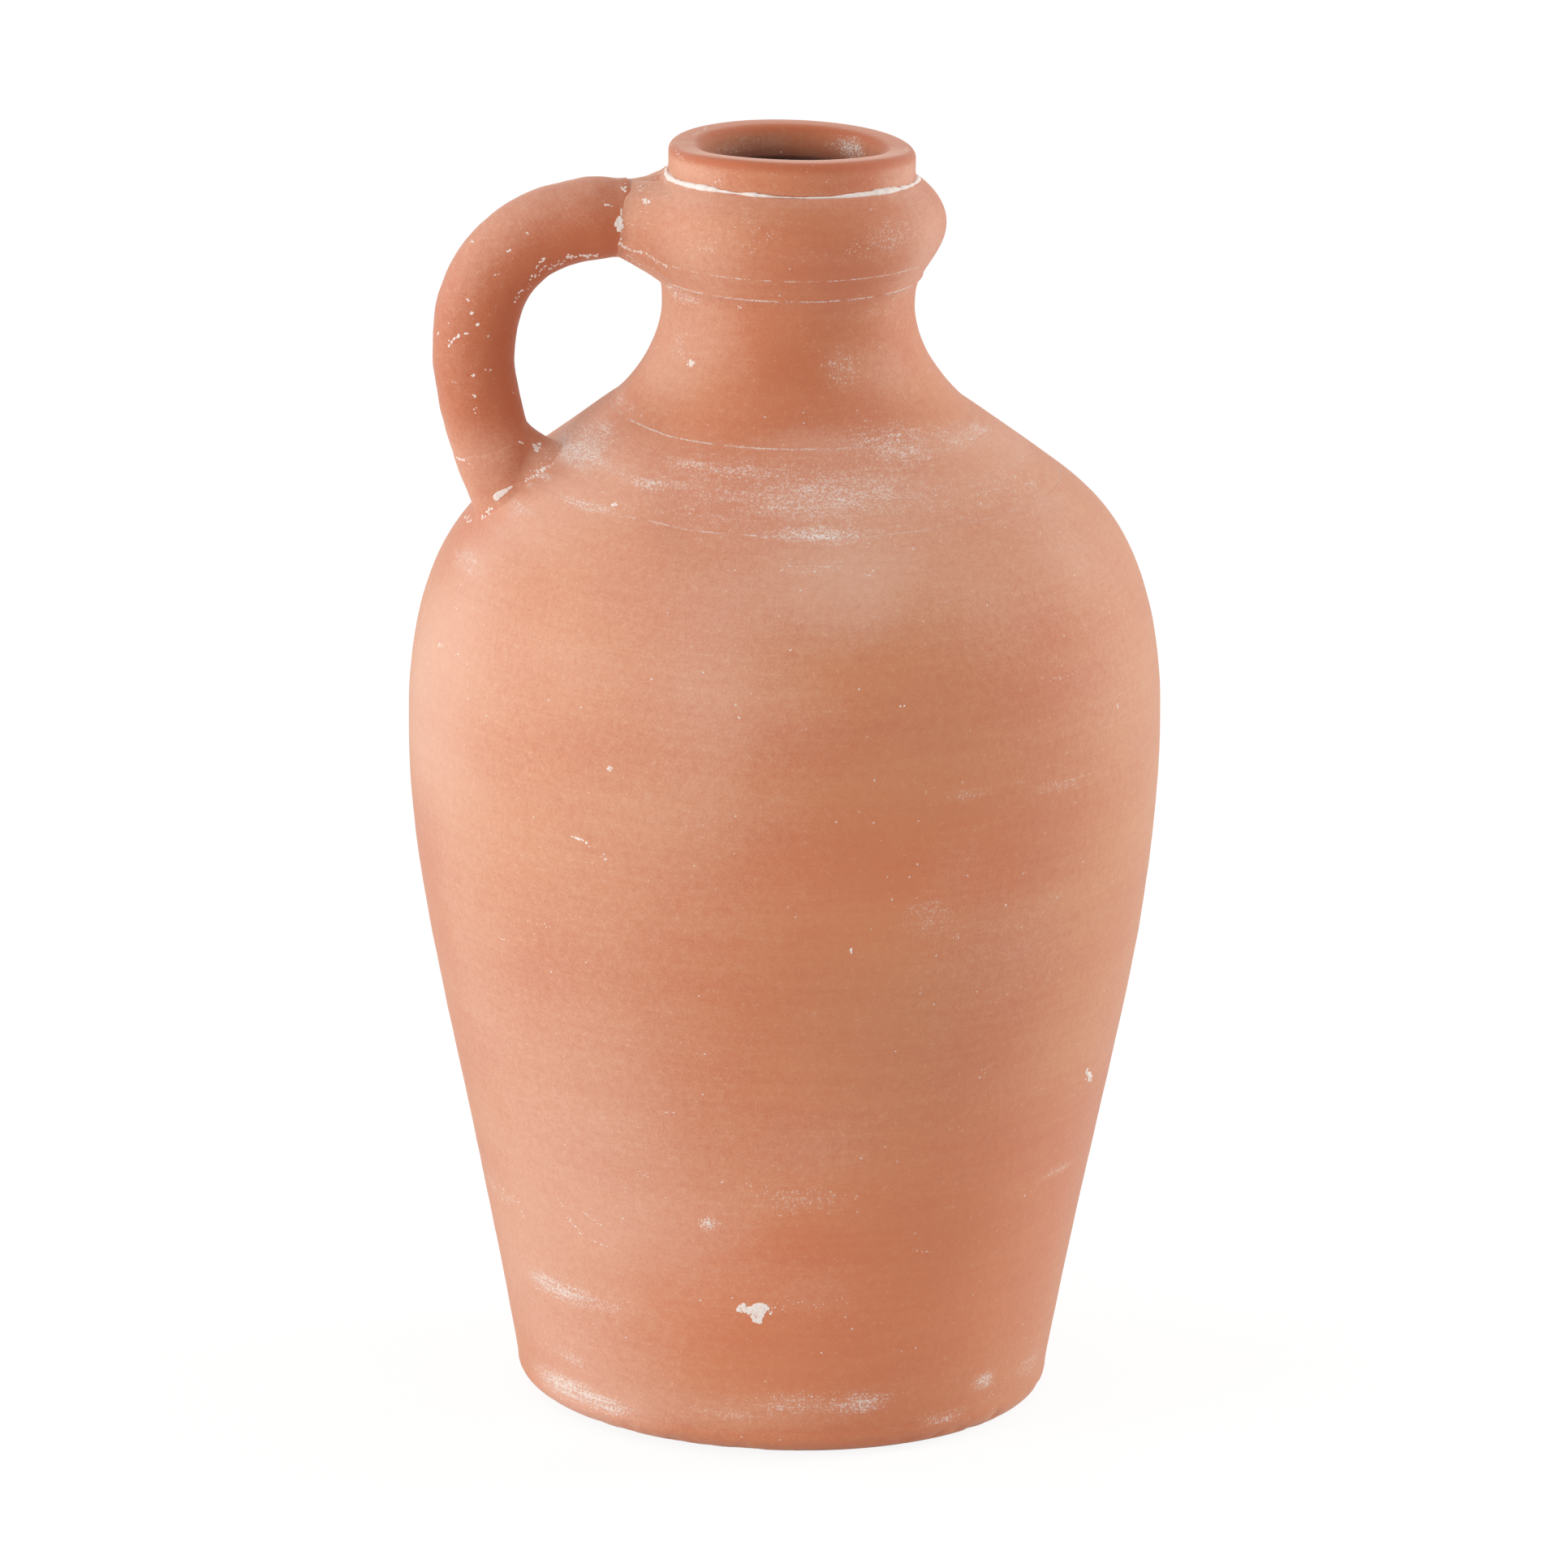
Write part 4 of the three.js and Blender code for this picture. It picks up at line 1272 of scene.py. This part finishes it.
# %% The clay's shader
def clay_skin():
    """Fills the clay's material. Pulled clay is redder than thrown clay and has no throwing lines."""
    at = shader_tree(fired_clay)
    place = at.node("ShaderNodeTexCoord", output="Object")
    x, y, height = split(place)
    radius = at.maths("SQRT", x * x + y * y)
    east, north = x / radius, y / radius
    pulled, within, warm = of_mesh(at, "kinds")
    thrown = 1 - pulled
    wash, bloom_and_highlight, deep = of_mesh(at, "spots")

    # Grain of the clay, and the rings that throwing leaves.
    grain = clouds(place, 1500.0, 2.0, 1.0) - 0.5
    sand = clouds(place, 420.0, 3.0, 2.0) - 0.5
    haze = clouds(place, 14.0, 3.0, 3.0)
    inwards = at.maths("MINIMUM", radius - (foot_radius - FOOT_ROUND), 0.0)
    rise = height + inwards * ramp(height, 3 * MM, MM)
    bands = (clouds(joined(east * 0.8, north * 0.8, rise * 34), 1.0, 2.0, 4.0) - 0.5) * thrown
    lines = (clouds(joined(east * 2.4, north * 2.4, rise * 430), 1.0, 2.0, 5.0) - 0.5) * thrown
    streaks = (clouds(joined(east * 7, north * 7, rise * 1200), 1.0, 2.0, 6.0) - 0.5) * thrown

    # Clay under its tan skin, redder and dustier places, and pale haze that also carries painted highlights.
    tone = haze * 0.55 + sand * 0.22 + grain * 0.25 + bands * 0.35 + lines * 0.2
    colour = blend(ramp(tone, 0.05, 0.5), CLAY, TAN)
    colour = blend(warm, colour, WARM)
    level = at.node("ShaderNodeAttribute", output="Fac", attribute_name="wheel_height")
    # The last millimetres up to the rim are redder and carry no haze: partly wear, partly painted shade on
    # the rim's top, which catches much light.
    rubbed = ramp(level, rim - 4 * MM, rim - MM)
    deep = deep * thrown * ramp(haze, 0.2, 0.6) + pulled * (ramp(haze, 0.3, 0.6) * 0.25 + 0.62)
    deep = at.maths("MAXIMUM", deep, rubbed * 0.85)
    colour = blend(deep, colour, DEEP)
    rough = grain * 0.45 + sand * 0.25 + streaks * 0.15
    dust_and_highlight = bloom_and_highlight * (1 - rubbed) * 0.8 + rough + bands * 0.25
    colour = blend(ramp(dust_and_highlight, 0.0, 0.9) * 0.7, colour, BLOOM)

    # Everything white: strokes, washes, seams and specks.
    strokes = ramp(streaks, 0.12, 0.25) * ramp(bands, 0.0, 0.2) * 0.2
    wash = at.maths("MAXIMUM", wash, strokes) * (streaks * 1.2 + 1)
    colour = blend(wash * 0.3, colour, BLOOM)
    speckled = grain * (wash * 0.9 + 0.5) + sand * 0.2 + streaks * 0.2
    chalky = ramp(wash * 0.26 + speckled, 0.06, 0.4) * 0.8
    seams = joint_lines(at, east, north, level) * ramp(grain, -0.15, 0.05) * thrown
    cells = at.node("ShaderNodeTexVoronoi", {"Vector": place, "Scale": 430.0})
    pick, _, _ = split(cells.out("Color"))
    drift = ramp(haze, 0.45, 0.75) * 0.05 + wash * 0.3
    specks = ramp(cells, 0.18, 0.09) * ramp(pick + drift, 0.97, 1.0)
    white = at.maths("MAXIMUM", chalky, at.maths("MAXIMUM", seams, specks) * 0.8)
    colour = blend(white, colour, CHALK)

    # Painted shade in the hollow, darker from the rim downwards.
    painted_hollow_shade = within * ramp(level, rim - 4 * MM, rim - 12 * MM) * ramp(level, MM, slab_top) * 0.9
    colour = blend(painted_hollow_shade * (1 - white), colour, HOLLOW_SHADE)

    # Relief and shine.
    relief = grain * 0.05 + sand * 0.16 + white * 0.12 + lines * 0.1 + streaks * 0.05
    normal = at.node("ShaderNodeBump", {"Strength": 1.0, "Distance": MM, "Height": relief}, "Normal")
    finish = {
        "Base Color": colour,
        "Roughness": white * 0.2 + 0.7,
        "Specular IOR Level": 0.35,
        "Sheen Weight": 0.45,
        "Sheen Roughness": 0.5,
        "Sheen Tint": (1.0, 0.87, 0.77, 1),
        "Normal": normal,
    }
    cover(at, finish)


def joint_lines(at, east, north, level):
    """Broken lines of slip in the joints: height on the wheel, half width, how broken, and gate."""
    gates = of_mesh(at, "gates")
    total = None
    for height, half, broken, gate_number in (
        (shoulder_top, 0.24 * MM, 0.36, 0),
        (belly_top, 0.24 * MM, 0.4, 1),
        (shoulder_top - 4.8 * MM, 0.2 * MM, 0.42, 2),
        (crease, 0.36 * MM, 0.36, None),
        (crease + 7 * MM, 0.22 * MM, 0.38, None),
    ):
        gap = at.maths("ABSOLUTE", level - height)
        ragged = clouds(joined(east * 11, north * 11, level * 90), 1.0, 4.0, height * 100)
        line = ramp(gap, half, half * 0.4) * ramp(ragged, broken, broken + 0.2)
        if gate_number is not None:
            line = line * gates[gate_number]
        total = line if total is None else at.maths("MAXIMUM", total, line)
    return total


clay_skin()
print(len(fired_clay.node_tree.nodes), "nodes in the clay")

# %% [markdown]
# ## White slip
#
# Dried slip is chalk with a little of the red clay rubbed into it.

# %% The slip's shader
def slip_skin():
    at = shader_tree(white_slip)
    place = at.node("ShaderNodeTexCoord", output="Object")
    rubbed = clouds(place, 900.0, 3.0, 8.0)
    colour = blend(ramp(rubbed, 0.5, 0.75) * 0.5, CHALK, BLOOM)
    bumps = {"Strength": 1.0, "Distance": MM, "Height": rubbed * 0.15}
    normal = at.node("ShaderNodeBump", bumps, "Normal")
    cover(at, {"Base Color": colour, "Roughness": rubbed * 0.2 + 0.8, "Normal": normal})


slip_skin()
print(len(white_slip.node_tree.nodes), "nodes in the slip")

# %% [markdown]
# ## Floor, light and background
#
# The photograph is a cut-out on white. A white floor and a white world stand in for the studio: the
# camera sees both as plain white, but the floor keeps the jug's soft shadow. A wide softbox on the
# handle's side is the main light, and two weaker ones, one on each side, draw the pale edges.

# %% Floor and world
FLOOR = 6.0
corners = [(-FLOOR, -FLOOR, 0), (FLOOR, -FLOOR, 0), (FLOOR, FLOOR, 0), (-FLOOR, FLOOR, 0)]
floor_mesh = bpy.data.meshes.new("floor")
floor_mesh.from_pydata(corners, [], [(0, 1, 2, 3)])
floor = bpy.data.objects.new("floor", floor_mesh)
scene.collection.objects.link(floor)
paper = bpy.data.materials.new("paper")
at = shader_tree(paper)
seen = at.node("ShaderNodeLightPath", output="Is Camera Ray")
matt = at.node("ShaderNodeBsdfDiffuse", {"Color": (0.85, 0.85, 0.85, 1)})
bright = at.node("ShaderNodeEmission", {"Color": (1, 1, 1, 1), "Strength": 1.06})
both = at.node("ShaderNodeMixShader", {0: seen * 0.85, 1: matt, 2: bright})
both.node("ShaderNodeOutputMaterial", {"Surface": both}, None)
floor_mesh.materials.append(paper)

world = bpy.data.worlds.new("studio")
scene.world = world
at = shader_tree(world)
path = at.node("ShaderNodeLightPath", output="Is Camera Ray")
mirrored = at.maths("MAXIMUM", path.out("Is Glossy Ray"), path.out("Is Transmission Ray"))
seen = at.maths("MAXIMUM", path, mirrored)
soft = at.node("ShaderNodeBackground", {"Color": (1, 1, 1, 1), "Strength": 0.6})
white = at.node("ShaderNodeBackground", {"Color": (1, 1, 1, 1), "Strength": 1.0})
mixed = at.node("ShaderNodeMixShader", {0: seen, 1: soft, 2: white})
mixed.node("ShaderNodeOutputWorld", {"Surface": mixed}, None)


# %% Softboxes
def softbox(name, place, size, power, colour, aim=(0, 0, 0.2)):
    lamp = bpy.data.lights.new(name, "AREA")
    lamp.color = colour
    lamp.shape = "RECTANGLE"
    lamp.size, lamp.size_y = size
    lamp.energy = power
    holder = bpy.data.objects.new(name, lamp)
    holder.location = place
    holder.rotation_euler = (Vector(aim) - Vector(place)).to_track_quat("-Z", "Y").to_euler()
    scene.collection.objects.link(holder)


softbox("key", (-3.3, -1.5, 1.0), (2.0, 2.6), 72, (1, 0.985, 0.955))
softbox("edge", (-2.4, 1.2, 1.1), (1.2, 2.2), 20, (1, 0.99, 0.97))
softbox("fill", (2.7, 0.4, 1.0), (1.2, 2.2), 44, (1, 0.98, 0.95))
scene.view_settings.view_transform = "Standard"
print("three softboxes")

# %% [markdown]
# ## On the body
#
# Each piece rides the jug's one body and stands in for its node of the frame.
# The crumbs stand in for no node.

# %% Ride and replace
for node, piece in pieces.items():
    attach(piece, "root")
    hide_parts(node)
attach(crumbs, "root")
